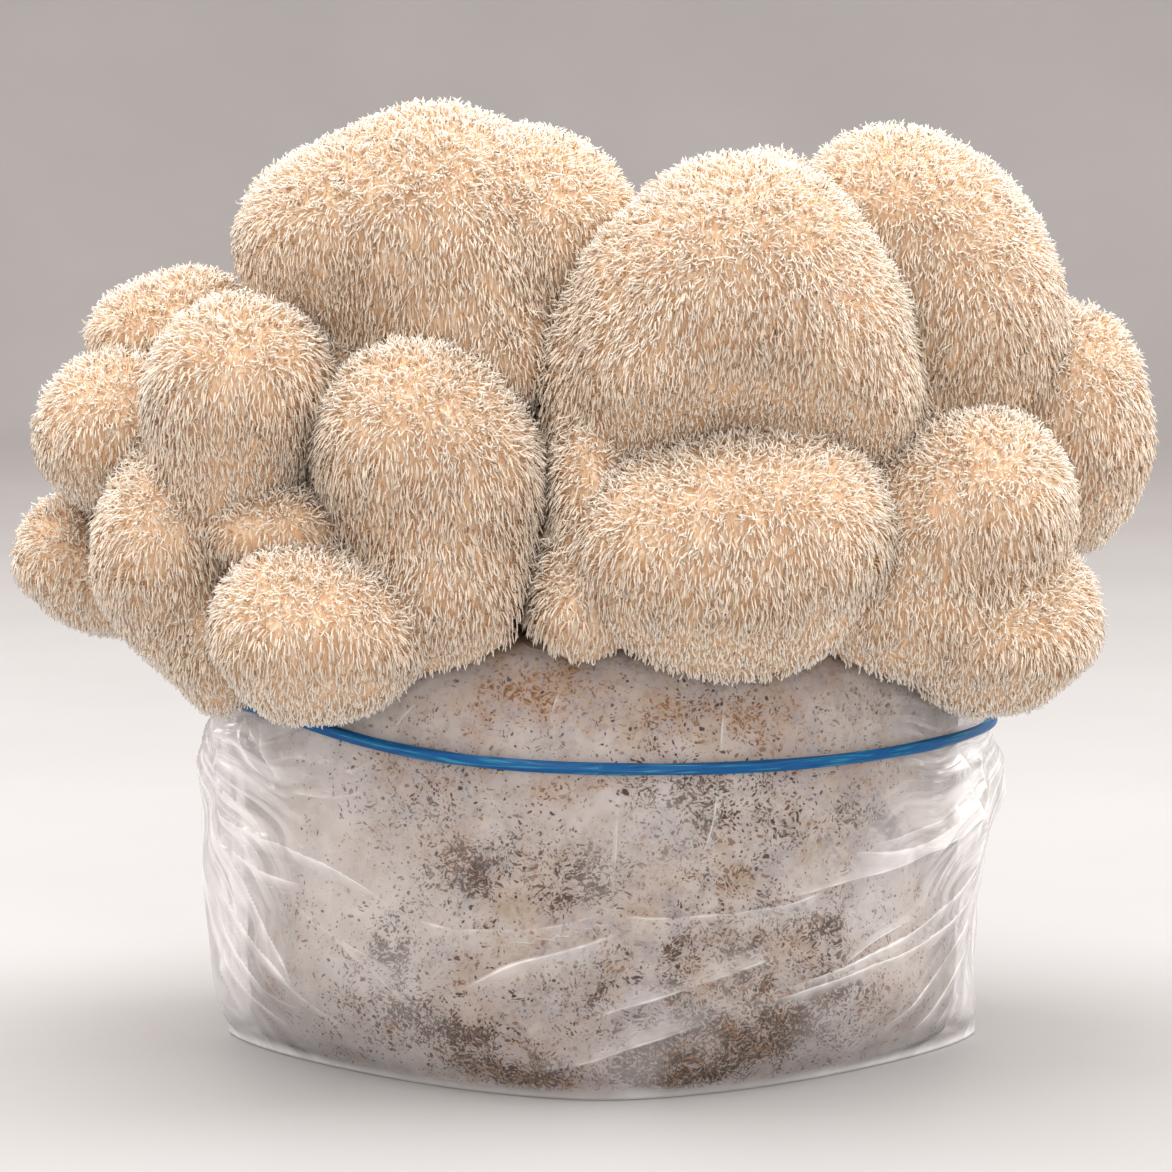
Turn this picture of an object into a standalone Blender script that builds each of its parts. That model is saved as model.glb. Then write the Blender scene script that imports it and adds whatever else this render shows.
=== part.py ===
"""Lion's mane mushroom: two fruit bodies growing from a sawdust block in a clear grow bag.

Metres, +Z up. The origin is the middle of the bag's flat underside, on the surface that it
stands on, and -Y is the front. Driving dimensions come first. Those whose name ends in _MM
are lists in millimetres.
"""
import math

import bmesh
import bpy
from mathutils import Euler, noise

MM = 0.001

# Block of sawdust and mycelium
BLOCK_HALF_WIDTH = 97 * MM
BLOCK_HALF_DEPTH = 75 * MM
BLOCK_TOP = 116 * MM
BLOCK_BOTTOM = 1.2 * MM
BLOCK_EDGE = 1.5 * MM

# Shoulder: from full width at its start to TOP_SCALE of it at its full span, quarter round
BLOCK_SHOULDER = 88 * MM
SHOULDER_SPAN = 31 * MM
TOP_SCALE = 0.60
ROUND_POWER = 2.4

# Level outlines: superellipse powers at the floor, which give a pointed lens, and above
FOOT_END_POWER = 1.35
FOOT_SIDE_POWER = 1.7
TOP_POWER = 2.1
FOOT_HEIGHT = 26 * MM

# Sag: the foot is deeper than the top by FOOT_SPREAD, and its lowest edge is drawn in
FOOT_SPREAD = 0.07
SAG_HEIGHT = 60 * MM
FOOT_EDGE = 0.03
EDGE_HEIGHT = 8 * MM

# Bag film
FILM = 0.6 * MM
FILM_STAND_OFF = 1.6 * MM
BAG_RIM = 113 * MM

# Loose gussets at the bag's two sides, gone above the band
GUSSET_STAND_OFF = 5.5 * MM
GUSSET_BULGE = 3.5 * MM
GUSSET_HEIGHT = 77 * MM
GUSSET_SPAN = 15 * MM
GUSSET_POWER = 6
GUSSET_FADE = (86 * MM, 100 * MM)

# Corner ears where the bag's bottom is sealed
EAR_LENGTH = 5 * MM
EAR_POWER = 24
EAR_FADE = (2 * MM, 12 * MM)

# Slanting folds: waves round the bag and up it
FOLD_DEPTH = 1.5 * MM
FOLD_WAVES = ((9.0, 60.0, 0.0), (5.0, -95.0, 1.0))
FOLD_FREE_HEIGHT = 4 * MM
FOLD_FULL_HEIGHT = 16 * MM

# Elastic band: lowest where the cosine round the bag is BAND_LOW_SIDE, and rising from there
BAND_RADIUS = 1.4 * MM
BAND_GAP = 0.5 * MM
BAND_LOW = 84.6 * MM
BAND_LOW_SIDE = 0.26
BAND_RISE = 3.9 * MM
BAND_STEEPER = 4.4 * MM
BAND_MOST = 7.7 * MM

# Fruit bodies: gaps to each other and to the block, its shoulder and the band
BODY_GAP = 0.5 * MM
SEAT_GAP = 0.4 * MM
SEAT_MARGIN = 3.5 * MM
SEAT_LIFT = 1.5 * MM
BAND_MARGIN = 12 * MM
BAND_CLEAR_HEIGHT = 94 * MM
LIFT_PASSES = 4

# Skin cells, each with one spine, and how far a spine stands out and droops
CELL = 11.4 * MM
CELL_TURN = Euler((0.55, 0.35, 0.5)).to_matrix().to_4x4()
SPINE_REACH = 8.0 * MM
SPINE_ROOT_DEPTH = 5.5 * MM
SPINE_DROOP = 0.55
SPINE_DROOP_LOSS = 0.5
SPINE_CLEARANCE = 4 * MM
SPINE_VARIATION = 0.3

# Where the two bodies press against each other: a wall through x = CREASE_X at CREASE_HEIGHT,
# leaning to the right as it rises, and turned to the right behind CREASE_FRONT higher up.
CREASE_X = -14.5 * MM
CREASE_HEIGHT = 168 * MM
CREASE_SLOPE = 0.17
CREASE_FRONT = -28 * MM
CREASE_TURN = 17 * MM
CREASE_TURN_LENGTH = 50 * MM
CREASE_TURN_RISE = (150 * MM, 205 * MM)

# Lobes: name, centre and half-sizes, in millimetres, to the tips of the spines
LEFT_LOBES_MM = [
    ("crown", (-37, 8, 213), (38, 44, 43)),
    ("crown_mid", (-63, 14, 219), (30, 36, 32)),
    ("crown_left", (-82, 24, 216), (22, 30, 25)),
    ("crown_right", (-8, 26, 221), (22, 30, 25)),
    ("upper_back", (-122, 28, 186), (22, 27, 22)),
    ("mid_out", (-134, 4, 163), (20, 26, 24)),
    ("far_low", (-145, 16, 127), (17, 24, 24)),
    ("mid_front", (-92, -34, 172), (27, 32, 34)),
    ("low_out", (-110, -24, 126), (24, 32, 35)),
    ("centre_front", (-45, -46, 161), (31, 33, 31)),
    ("infill", (-82, -44, 143), (17, 22, 12)),
    ("bottom_front", (-71, -68, 116), (29, 29, 23)),
    ("low_inner", (-37, -52, 120), (18, 30, 22)),
    ("back_high", (-52, 56, 190), (44, 34, 38)),
    ("back_outer", (-110, 50, 152), (36, 32, 34)),
    ("back_low", (-54, 66, 136), (42, 30, 34)),
    ("inner_back", (-34, 10, 150), (30, 58, 44)),
    ("core", (-62, 8, 158), (62, 58, 52)),
]
RIGHT_LOBES_MM = [
    ("dome", (37, -28, 194), (47, 46, 37)),
    ("dome_top", (45, -22, 211), (37, 38, 30)),
    ("back_top", (79, 16, 218), (31, 38, 33)),
    ("back_shoulder", (102, 12, 200), (26, 36, 31)),
    ("small_top", (46, 30, 224), (15, 20, 18)),
    ("far", (131, 14, 163), (21, 32, 35)),
    ("mid", (100, -34, 138), (27, 34, 36)),
    ("lower_front", (34, -56, 135), (42, 38, 34)),
    ("far_low", (109, -36, 110), (24, 28, 25)),
    ("inner_low", (-1, -54, 138), (20, 26, 33)),
    ("inner_back", (6, -2, 158), (30, 56, 42)),
    ("low_mid", (72, -54, 116), (22, 28, 15)),
    ("back_high", (50, 52, 196), (42, 34, 36)),
    ("back_outer", (104, 54, 158), (36, 32, 38)),
    ("back_low", (42, 66, 136), (46, 30, 34)),
    ("core", (58, 8, 158), (58, 58, 52)),
]

# Colours, linear, and surface values
SPINE_CREAM = (0.85, 0.66, 0.44, 1.0)
SPINE_ROUGHNESS = 0.75
MYCELIUM_WHITE = (0.74, 0.68, 0.62, 1.0)
MYCELIUM_ROUGHNESS = 0.85
FILM_CLEAR = (0.86, 0.86, 0.88, 1.0)
FILM_ROUGHNESS = 0.2
FILM_ALPHA = 0.3
BAND_BLUE = (0.02, 0.22, 0.62, 1.0)
BAND_ROUGHNESS = 0.4

# Heights of the rings that block and bag share, so that their facets stay parallel
LEVELS_MM = (3, 10, 24, 40, 56, 70, 80, 92, 103)

# Mesh resolution
RING_POINTS = 32
LOBE_SUBDIVISIONS = 3
BAND_POINTS = 32


def clear_scene():
    """Remove every object that the file holds."""
    for existing in list(bpy.data.objects):
        bpy.data.objects.remove(existing, do_unlink=True)


def new_collection(name):
    """Make a collection in the scene."""
    collection = bpy.data.collections.new(name)
    bpy.context.scene.collection.children.link(collection)
    return collection


def make_material(name, colour, roughness, alpha=1.0):
    """Make a plain Principled material."""
    material = bpy.data.materials.new(name)
    material.use_nodes = True
    shader = material.node_tree.nodes["Principled BSDF"]
    shader.inputs["Base Color"].default_value = colour
    shader.inputs["Roughness"].default_value = roughness
    shader.inputs["Metallic"].default_value = 0.0
    shader.inputs["Alpha"].default_value = alpha
    return material


def add_object(name, data, collection, material):
    """Put a mesh or curve into the scene as a named object with its material."""
    data.materials.append(material)
    placed = bpy.data.objects.new(name, data)
    collection.objects.link(placed)
    return placed


def shade(mesh):
    """Shade a mesh smooth, with its steep edges kept sharp."""
    mesh.shade_smooth()
    mesh.set_sharp_from_angle(angle=math.radians(40))


# Bag and block: level rings that change from a pointed lens at the bottom to a rounded box

def blend(low, high, value):
    """Smooth step from 0 at low to 1 at high."""
    t = min(max((value - low) / (high - low), 0.0), 1.0)
    return t * t * (3.0 - 2.0 * t)


def shoulder_scale(height):
    """How much of its full width a level keeps: 1 up to the shoulder, then a quarter round."""
    rise = min(max((height - BLOCK_SHOULDER) / SHOULDER_SPAN, 0.0), 1.0)
    return TOP_SCALE + (1.0 - TOP_SCALE) * math.sqrt(1.0 - rise ** ROUND_POWER)


def level_point(angle, height, grow):
    """Point on the block's side at an angle and height, moved out by grow.

    The level is a superellipse whose ends are pointed at the floor and rounded above.
    """
    upright = blend(0.0, FOOT_HEIGHT, height)
    end_power = FOOT_END_POWER + (TOP_POWER - FOOT_END_POWER) * upright
    side_power = FOOT_SIDE_POWER + (TOP_POWER - FOOT_SIDE_POWER) * upright
    cosine = math.cos(angle)
    sine = math.sin(angle)
    scale = shoulder_scale(height)
    edge = 1.0 - FOOT_EDGE * (1.0 - blend(0.0, EDGE_HEIGHT, height))
    spread = 1.0 + FOOT_SPREAD * (1.0 - blend(0.0, SAG_HEIGHT, height))
    half_width = BLOCK_HALF_WIDTH * scale * edge
    half_depth = BLOCK_HALF_DEPTH * scale * edge * spread
    x = half_width * math.copysign(abs(cosine) ** (2.0 / side_power), cosine)
    y = half_depth * math.copysign(abs(sine) ** (2.0 / end_power), sine)
    length = math.hypot(x / BLOCK_HALF_WIDTH ** 2, y / BLOCK_HALF_DEPTH ** 2)
    x += grow * x / BLOCK_HALF_WIDTH ** 2 / length
    y += grow * y / BLOCK_HALF_DEPTH ** 2 / length
    return x, y


def gusset(angle, height):
    """How far the loose film stands off at the bag's two sides, and at its corner ears."""
    sideways = abs(math.cos(angle))
    off_bulge = (height - GUSSET_HEIGHT) / GUSSET_SPAN
    bulge = GUSSET_STAND_OFF + GUSSET_BULGE * math.exp(-off_bulge ** 2)
    loose = sideways ** GUSSET_POWER * bulge * (1.0 - blend(*GUSSET_FADE, height))
    ear = EAR_LENGTH * sideways ** EAR_POWER * (1.0 - blend(*EAR_FADE, height))
    return loose + ear


def band_height(angle):
    """Height of the band's middle: lowest right of the front's middle, highest at the left.

    The rise is held under BAND_MOST, so that the band stays clear of the fruit bodies.
    """
    aside = math.cos(angle) - BAND_LOW_SIDE
    rise = BAND_RISE * aside ** 2 + BAND_STEEPER * aside ** 4
    return BAND_LOW + rise / (1.0 + (rise / BAND_MOST) ** 6) ** (1.0 / 6.0)


def folds(angle, height):
    """Slanting folds of the film: ridges where two waves meet, none at the band or floor."""
    fan = 1.0
    for around, upward, start in FOLD_WAVES:
        fan *= math.sin(around * angle + upward * height + start)
    from_band = blend(FOLD_FREE_HEIGHT, FOLD_FULL_HEIGHT, abs(height - band_height(angle)))
    from_floor = blend(FOLD_FREE_HEIGHT, FOLD_FULL_HEIGHT, height)
    return FOLD_DEPTH * max(fan, 0.0) * from_band * from_floor


def ring_angles():
    """Evenly spaced angles round the bag."""
    return [2.0 * math.pi * i / RING_POINTS for i in range(RING_POINTS)]


def loft(rings, close_bottom, close_top):
    """Join rings of points, lowest first, with faces, and close the ends if asked."""
    shape = bmesh.new()
    rows = [[shape.verts.new(point) for point in ring] for ring in rings]
    for lower, upper in zip(rows, rows[1:]):
        for i in range(len(lower)):
            j = (i + 1) % len(lower)
            shape.faces.new((lower[i], lower[j], upper[j], upper[i]))
    if close_bottom:
        shape.faces.new(list(reversed(rows[0])))
    if close_top:
        shape.faces.new(rows[-1])
    mesh = bpy.data.meshes.new("loft")
    shape.to_mesh(mesh)
    shape.free()
    return mesh


def build_block(collection):
    """The block: a closed loft, standing on the film's inner face."""
    heights = [BLOCK_BOTTOM] + [level * MM for level in LEVELS_MM] + [BAG_RIM, BLOCK_TOP]
    rings = []
    for height in heights:
        inset = BLOCK_EDGE if height == BLOCK_BOTTOM else 0.0
        rings.append([(*level_point(angle, height, -inset), height) for angle in ring_angles()])
    mesh = loft(rings, close_bottom=True, close_top=True)
    shade(mesh)
    material = make_material("mycelium", MYCELIUM_WHITE, MYCELIUM_ROUGHNESS)
    add_object("substrate_block", mesh, collection, material)


def build_bag(collection):
    """The bag: an open loft with a flat closed bottom, thickened inwards to the film."""
    heights = [0.0] + [level * MM for level in LEVELS_MM] + [BAG_RIM]
    rings = []
    for height in heights:
        ring = []
        for angle in ring_angles():
            grow = FILM_STAND_OFF + gusset(angle, height) + folds(angle, height)
            ring.append((*level_point(angle, height, grow), height))
        rings.append(ring)
    mesh = loft(rings, close_bottom=True, close_top=False)
    shade(mesh)
    material = make_material("clear_film", FILM_CLEAR, FILM_ROUGHNESS, FILM_ALPHA)
    bag = add_object("grow_bag", mesh, collection, material)
    wall = bag.modifiers.new("film", "SOLIDIFY")
    wall.thickness = FILM
    wall.offset = -1.0
    return bag


def build_band(collection):
    """The band: a closed loop that lies on the film."""
    curve = bpy.data.curves.new("elastic_band", "CURVE")
    curve.dimensions = "3D"
    curve.bevel_depth = BAND_RADIUS
    curve.bevel_resolution = 1
    route = curve.splines.new("POLY")
    route.points.add(BAND_POINTS - 1)
    route.use_cyclic_u = True
    grow = FILM_STAND_OFF + BAND_GAP + BAND_RADIUS
    for i in range(BAND_POINTS):
        angle = 2.0 * math.pi * i / BAND_POINTS
        height = band_height(angle)
        side = gusset(angle, height)
        route.points[i].co = (*level_point(angle, height, grow + side), height, 1.0)
    material = make_material("blue_rubber", BAND_BLUE, BAND_ROUGHNESS)
    add_object("elastic_band", curve, collection, material)


# Fruit bodies: lobes run together, seated on the block, with a spine drawn out of every cell

def crease_x(depth, height):
    """Where the two bodies meet, at a place from front to back and a height."""
    upright = CREASE_X + CREASE_SLOPE * (height - CREASE_HEIGHT)
    turn = CREASE_TURN * math.tanh((depth - CREASE_FRONT) / CREASE_TURN_LENGTH)
    return upright + turn * blend(*CREASE_TURN_RISE, height)


def reach(x, y, margin):
    """How far out a place is: 1 on the block's full outline grown by a margin."""
    part_x = (abs(x) / (BLOCK_HALF_WIDTH + margin)) ** TOP_POWER
    part_y = (abs(y) / (BLOCK_HALF_DEPTH + margin)) ** TOP_POWER
    return (part_x + part_y) ** (1.0 / TOP_POWER)


def seat_height(x, y):
    """Lowest height that a body may reach above a place.

    It is the block's top, then its rounded shoulder, then a ledge that clears the band.
    A body hangs free past that ledge.
    """
    out = reach(x, y, SEAT_MARGIN)
    ledge = BAND_CLEAR_HEIGHT if reach(x, y, BAND_MARGIN) < 1.0 else 0.0
    if out >= 1.0:
        return ledge
    drop = max((out - TOP_SCALE) / (1.0 - TOP_SCALE), 0.0)
    rise = (1.0 - drop ** 2) ** (1.0 / ROUND_POWER)
    shoulder = BLOCK_SHOULDER + SEAT_LIFT + rise * SHOULDER_SPAN
    return max(min(shoulder, BLOCK_TOP + SEAT_GAP), ledge)


def lobe_shells(lobes):
    """One mesh with a closed ball for every lobe, set in by the depth of the spines."""
    shape = bmesh.new()
    for _, centre, half_size in lobes:
        ball = bmesh.ops.create_icosphere(shape, subdivisions=LOBE_SUBDIVISIONS, radius=1.0)
        for vert in ball["verts"]:
            for axis in range(3):
                reach = half_size[axis] * MM - SPINE_ROOT_DEPTH
                vert.co[axis] = centre[axis] * MM + vert.co[axis] * reach
    bmesh.ops.transform(shape, matrix=CELL_TURN.inverted(), verts=shape.verts[:])
    mesh = bpy.data.meshes.new("lobes")
    shape.to_mesh(mesh)
    shape.free()
    return mesh


def run_together(mesh, collection):
    """Merge overlapping lobes into one skin of even cells, whose rows run aslant."""
    guide = bpy.data.objects.new("lobe_guide", mesh)
    collection.objects.link(guide)
    remesh = guide.modifiers.new("skin", "REMESH")
    remesh.mode = "VOXEL"
    remesh.voxel_size = CELL
    bpy.context.view_layer.update()
    evaluated = guide.evaluated_get(bpy.context.evaluated_depsgraph_get())
    skin = bpy.data.meshes.new_from_object(evaluated)
    bpy.data.objects.remove(guide, do_unlink=True)
    skin.transform(CELL_TURN)
    return skin


def seat(vert, side):
    """Keep a corner of the skin off the block and on its own side of the crease."""
    vert.co.z = max(vert.co.z, seat_height(vert.co.x, vert.co.y))
    wall = crease_x(vert.co.y, vert.co.z) + side * BODY_GAP
    vert.co.x = max(vert.co.x, wall) if side > 0 else min(vert.co.x, wall)


def lift_off(shape):
    """Raise faces whose middle or edges still dip into the block's shoulder."""
    for _ in range(LIFT_PASSES):
        for face in shape.faces:
            places = [edge.verts[0].co.lerp(edge.verts[1].co, 0.5) for edge in face.edges]
            places.append(face.calc_center_median())
            dip = max(seat_height(place.x, place.y) - place.z for place in places)
            if 0.0 < dip < CELL:
                for vert in face.verts:
                    vert.co.z += dip


def is_free(point, side):
    """Whether a spine can stand at a point: clear of the block and of the other body."""
    off_block = point.z - seat_height(point.x, point.y)
    off_wall = side * (point.x - crease_x(point.y, point.z))
    return off_block > SPINE_CLEARANCE and off_wall > SPINE_CLEARANCE


def draw_spines(shape, side):
    """Pull the middle of each free face outwards and down into a drooping spine."""
    shape.normal_update()
    free = [face for face in shape.faces if is_free(face.calc_center_median(), side)]
    normals = [face.normal.copy() for face in free]
    poked = bmesh.ops.poke(shape, faces=free)
    for tip, normal in zip(poked["verts"], normals):
        lean = normal.copy()
        lean.z -= SPINE_DROOP * (1.0 - SPINE_DROOP_LOSS * abs(normal.z))
        lean.normalize()
        vary = 1.0 + SPINE_VARIATION * noise.noise(tip.co / CELL)
        tip.co += lean * SPINE_REACH * vary
        seat(tip, side)


def build_body(name, lobes, side, collection, material):
    """One fruit body: lobes run together, seated, with its spines drawn out."""
    skin = run_together(lobe_shells(lobes), collection)
    shape = bmesh.new()
    shape.from_mesh(skin)
    for vert in shape.verts:
        seat(vert, side)
    lift_off(shape)
    draw_spines(shape, side)
    bmesh.ops.triangulate(shape, faces=shape.faces[:])
    shape.to_mesh(skin)
    shape.free()
    skin.shade_smooth()
    add_object(name, skin, collection, material)


def build_mushroom(collection):
    """Both fruit bodies, left and right of the crease."""
    material = make_material("cream_spines", SPINE_CREAM, SPINE_ROUGHNESS)
    build_body("mushroom_left", LEFT_LOBES_MM, -1, collection, material)
    build_body("mushroom_right", RIGHT_LOBES_MM, 1, collection, material)


def main():
    clear_scene()
    collection = new_collection("lions_mane_mushroom")
    build_block(collection)
    build_bag(collection)
    build_band(collection)
    build_mushroom(collection)


main()
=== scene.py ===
"""Lion's mane mushroom on its grow block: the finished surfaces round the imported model.

Metres, +Z up, -Y is the front. The block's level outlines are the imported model's own, and the
lobes, the crease, the seat and the band follow it and are cut finer. They are repeated here
because the script reads nothing but the frame.
"""

import itertools
import math

import bpy
import numpy as np
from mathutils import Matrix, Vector


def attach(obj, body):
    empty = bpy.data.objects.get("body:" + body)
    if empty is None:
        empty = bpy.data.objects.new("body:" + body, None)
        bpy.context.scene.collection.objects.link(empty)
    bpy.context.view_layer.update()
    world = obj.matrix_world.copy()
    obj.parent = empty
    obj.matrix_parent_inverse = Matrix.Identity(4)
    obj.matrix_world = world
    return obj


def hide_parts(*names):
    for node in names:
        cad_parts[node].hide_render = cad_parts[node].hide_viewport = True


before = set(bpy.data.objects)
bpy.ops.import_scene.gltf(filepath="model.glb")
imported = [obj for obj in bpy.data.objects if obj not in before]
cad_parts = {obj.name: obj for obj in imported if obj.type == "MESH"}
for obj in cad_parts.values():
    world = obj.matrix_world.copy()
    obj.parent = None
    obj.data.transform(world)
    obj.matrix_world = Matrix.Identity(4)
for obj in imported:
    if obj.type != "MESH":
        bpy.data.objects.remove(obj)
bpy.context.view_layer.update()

MM = 0.001
BODY = "root"

# Camera: the photograph is IMAGE_SIZE pixels wide and high
IMAGE_SIZE = 1172
FOCAL_PIXELS = 3800
SENSOR_WIDTH = 36.0
CAMERA_PLACE = (-4.3 * MM, -1026 * MM, 231 * MM)
CAMERA_TILT = 84.0

# Floor: flat out to here, then rising, and just under the model
FLOOR_FLAT = 2.4
FLOOR_RISE = 1.0
FLOOR_DROP = 0.2 * MM
FLOOR_ROWS = 24
FLOOR_COLUMNS = 96

# Block of sawdust and mycelium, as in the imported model
BLOCK_HALF_WIDTH = 97 * MM
BLOCK_HALF_DEPTH = 75 * MM
BLOCK_TOP = 116 * MM
BLOCK_BOTTOM = 1.2 * MM
BLOCK_SHOULDER = 88 * MM
SHOULDER_SPAN = 31 * MM
TOP_SCALE = 0.60
ROUND_POWER = 2.4
FOOT_END_POWER = 1.35
FOOT_SIDE_POWER = 1.7
TOP_POWER = 2.1
FOOT_HEIGHT = 26 * MM
FOOT_SPREAD = 0.07
SAG_HEIGHT = 60 * MM
FOOT_EDGE = 0.03
EDGE_HEIGHT = 8 * MM

# Fruit bodies: seat on the block, ledge over the band, and the crease between the two
BODY_GAP = 0.5 * MM
SEAT_GAP = 0.4 * MM
SEAT_MARGIN = 3.5 * MM
SEAT_LIFT = 1.5 * MM
LEDGE_MARGIN = 12 * MM
LEDGE_LOW = 93 * MM
BAND_CLEARANCE = 1.1 * MM
CREASE_X = -14.5 * MM
CREASE_HEIGHT = 168 * MM
CREASE_SLOPE = 0.17
CREASE_FRONT = -28 * MM
CREASE_TURN = 25 * MM
CREASE_TURN_LENGTH = 50 * MM
CREASE_TURN_RISE = (150 * MM, 205 * MM)

# Masses of each body, in millimetres to the tips of the spines: how softly the lobes of a mass
# run together, and each lobe's centre and half-sizes
LEFT_MASSES_MM = {
    "crown": (16, ((-45, 6, 215), (37, 48, 39)), ((-75, 10, 215), (25, 42, 27)),
              ((-13, 12, 215), (24, 42, 30)), ((-38, 0, 191), (28, 42, 31)),
              ((-24, 0, 182), (13, 40, 17))),
    "upper_back": (10, ((-122, 28, 190), (21, 27, 15)), ((-110, 28, 190), (17, 27, 17))),
    "mid_out": (12, ((-133, 2, 164), (21, 28, 23)), ((-123, 4, 163), (16, 28, 19))),
    "far_low": (12, ((-146, 16, 130), (15, 26, 18)), ((-132, 10, 123), (17, 26, 15))),
    "mid_front": (12, ((-94, -32, 179), (25, 34, 25)), ((-97, -28, 163), (22, 32, 28))),
    "low_out": (14, ((-114, -24, 134), (21, 34, 30)), ((-99, -30, 110), (18, 32, 20))),
    "infill": (8, ((-84, -38, 142), (21, 27, 13))),
    "centre_front": (16, ((-49, -44, 163), (27, 34, 29)), ((-38, -42, 153), (25, 34, 24)),
                     ((-40, -50, 126), (24, 31, 26))),
    "bottom_front": (12, ((-77, -66, 118), (24, 30, 23)), ((-62, -62, 116), (22, 28, 19))),
    "back_high": (16, ((-52, 56, 190), (44, 34, 38))),
    "back_outer": (16, ((-110, 50, 152), (36, 32, 34))),
    "back_low": (16, ((-54, 66, 136), (42, 30, 34))),
    "inner": (20, ((-52, 8, 165), (30, 44, 38)), ((-77, 8, 162), (49, 40, 38))),
}
RIGHT_MASSES_MM = {
    "dome": (11, ((34, -28, 199), (41, 46, 38)), ((39, -24, 212), (28, 40, 26)),
             ((53, -26, 187), (30, 42, 30)), ((14, -30, 183), (24, 42, 25)),
             ((70, -22, 174), (14, 34, 19)), ((46, 14, 231), (13, 24, 12))),
    "back_top": (20, ((77, 14, 219), (26, 38, 28)), ((88, 12, 210), (26, 38, 29)),
                 ((97, 10, 199), (25, 36, 27)), ((96, 6, 186), (27, 38, 29))),
    "far": (12, ((131, 14, 165), (19, 32, 33)), ((123, 14, 165), (22, 32, 33))),
    "mid": (12, ((100, -32, 149), (25, 34, 26)), ((89, -34, 137), (30, 34, 28)),
            ((72, -41, 121), (24, 28, 18)), ((86, -41, 120), (20, 28, 18))),
    "lower_front": (12, ((17, -56, 136), (27, 38, 28)), ((48, -52, 141), (28, 38, 29)),
                    ((33, -58, 128), (28, 36, 24)), ((33, -52, 146), (26, 36, 23))),
    "far_low": (12, ((101, -41, 113), (27, 30, 22)), ((116, -26, 121), (15, 26, 17))),
    "inner_low": (10, ((-3, -44, 145), (13, 26, 29)), ((-5, -53, 122), (16, 27, 20))),
    "back_high": (16, ((50, 52, 196), (42, 34, 36))),
    "back_outer": (16, ((104, 54, 158), (36, 32, 38))),
    "back_low": (16, ((42, 66, 136), (46, 30, 34))),
    "inner": (20, ((5, -2, 174), (30, 52, 43)), ((54, 8, 165), (52, 46, 41))),
}
CREASE_SOFTNESS = 3 * MM
VALLEY_SOFTNESS = 20 * MM
VALLEY_DEPTH = 4.9 * MM

# Flesh: how deep it lies under the tips, and the skin that joins the lobes
SPINE_DEPTH = 3.1 * MM
SKIN_CELL = 2.4 * MM
SKIN_SMOOTH_PASSES = 6
FIT_PASSES = 4
GRADIENT_STEP = 0.3 * MM
LOBE_ROWS = 24
LOBE_COLUMNS = 48
WAVES = ((1.8 * MM, 23 * MM), (0.6 * MM, 8 * MM))

# Spines: spacing at the front and behind, lengths, thickness and how they lie
FRONT_SPACING = 1.2 * MM
BACK_SPACING = 2.1 * MM
ROOT_STRATA = 3
ROOT_DEPTH = 3.0 * MM
SPINE_SHORT = 4.2 * MM
SPINE_LONG = 5.8 * MM
SPINE_RADIUS = 0.255 * MM
LENGTH_RANGE = (0.8, 1.2)
RADIUS_RANGE = (0.85, 1.15)
BACK_THICKENING = 1.6
CURL_SIZE = 3.8 * MM
CREASE_CLEARANCE = 0.4 * MM
ROOT_CLEARANCE = 0.5 * MM
TIP_CLEARANCE = 0.3 * MM
OVERHANG_MARGIN = 7 * MM
OVERHANG = 3 * MM
MOST_FACES = 190_000

# Bag film: the two side outlines, height and half-width in millimetres, and its rim
FILM_STAND_OFF = 0.9 * MM
FILM_RIM = 115 * MM
LEFT_SIDE_MM = ((0, 105.2), (6, 105.6), (14, 106.0), (40, 106.6), (56, 107.2), (66, 107.2),
                (76, 108.4), (86, 108.4), (91, 105.5), (97, 102), (105, 95), (116, 84))
RIGHT_SIDE_MM = ((0, 105.4), (6, 104.2), (20, 101.4), (37, 103.2), (50, 105.6), (60, 107.4),
                 (67, 108.2), (75, 107.2), (84, 105.6), (91, 104.5), (97, 101), (105, 95), (116, 84))
GUSSET_POWER = 6

# Elastic band
BAND_HALF_HEIGHT = 1.45 * MM
BAND_HALF_THICKNESS = 1.1 * MM
BAND_LOW = 84.6 * MM
BAND_LOW_SIDE = 0.26
BAND_RISE = 3.9 * MM
BAND_STEEPER = 4.4 * MM
BAND_MOST = 11 * MM
BAND_OFF_FILM = 1.3 * MM

NOISE_VALUES = np.random.default_rng(11).uniform(-1.0, 1.0, 4096)


# Small tools for whole arrays

def smooth_step(low, high, value):
    """0 up to low, 1 from high, and 3t^2 - 2t^3 between them."""
    t = np.clip((value - low) / (high - low), 0.0, 1.0)
    return t * t * (3.0 - 2.0 * t)


def unit(vectors):
    """Each vector divided by its own length."""
    return vectors / np.maximum(np.linalg.norm(vectors, axis=-1, keepdims=True), 1e-12)


def along_surface(vectors, normals):
    """The part of each vector that lies in the surface: v - (v.n) n."""
    return vectors - np.sum(vectors * normals, axis=-1, keepdims=True) * normals


def soft_noise(places, size, seed=0):
    """Smooth noise from -1 to 1: random values at the corners of cubes of one size, joined
    along the three axes with the weights 3t^2 - 2t^3.
    """
    scaled = places / size
    cell = np.floor(scaled).astype(np.int64)
    part = scaled - cell
    part = part * part * (3.0 - 2.0 * part)
    total = np.zeros(places.shape[:-1])
    for corner in itertools.product((0, 1), repeat=3):
        x, y, z = np.moveaxis(cell + corner, -1, 0)
        key = (x * 73856093) ^ (y * 19349663) ^ (z * 83492791 + seed * 2654435761)
        weight = np.prod(np.where(corner, part, 1.0 - part), axis=-1)
        total += NOISE_VALUES[key % len(NOISE_VALUES)] * weight
    return total


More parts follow.
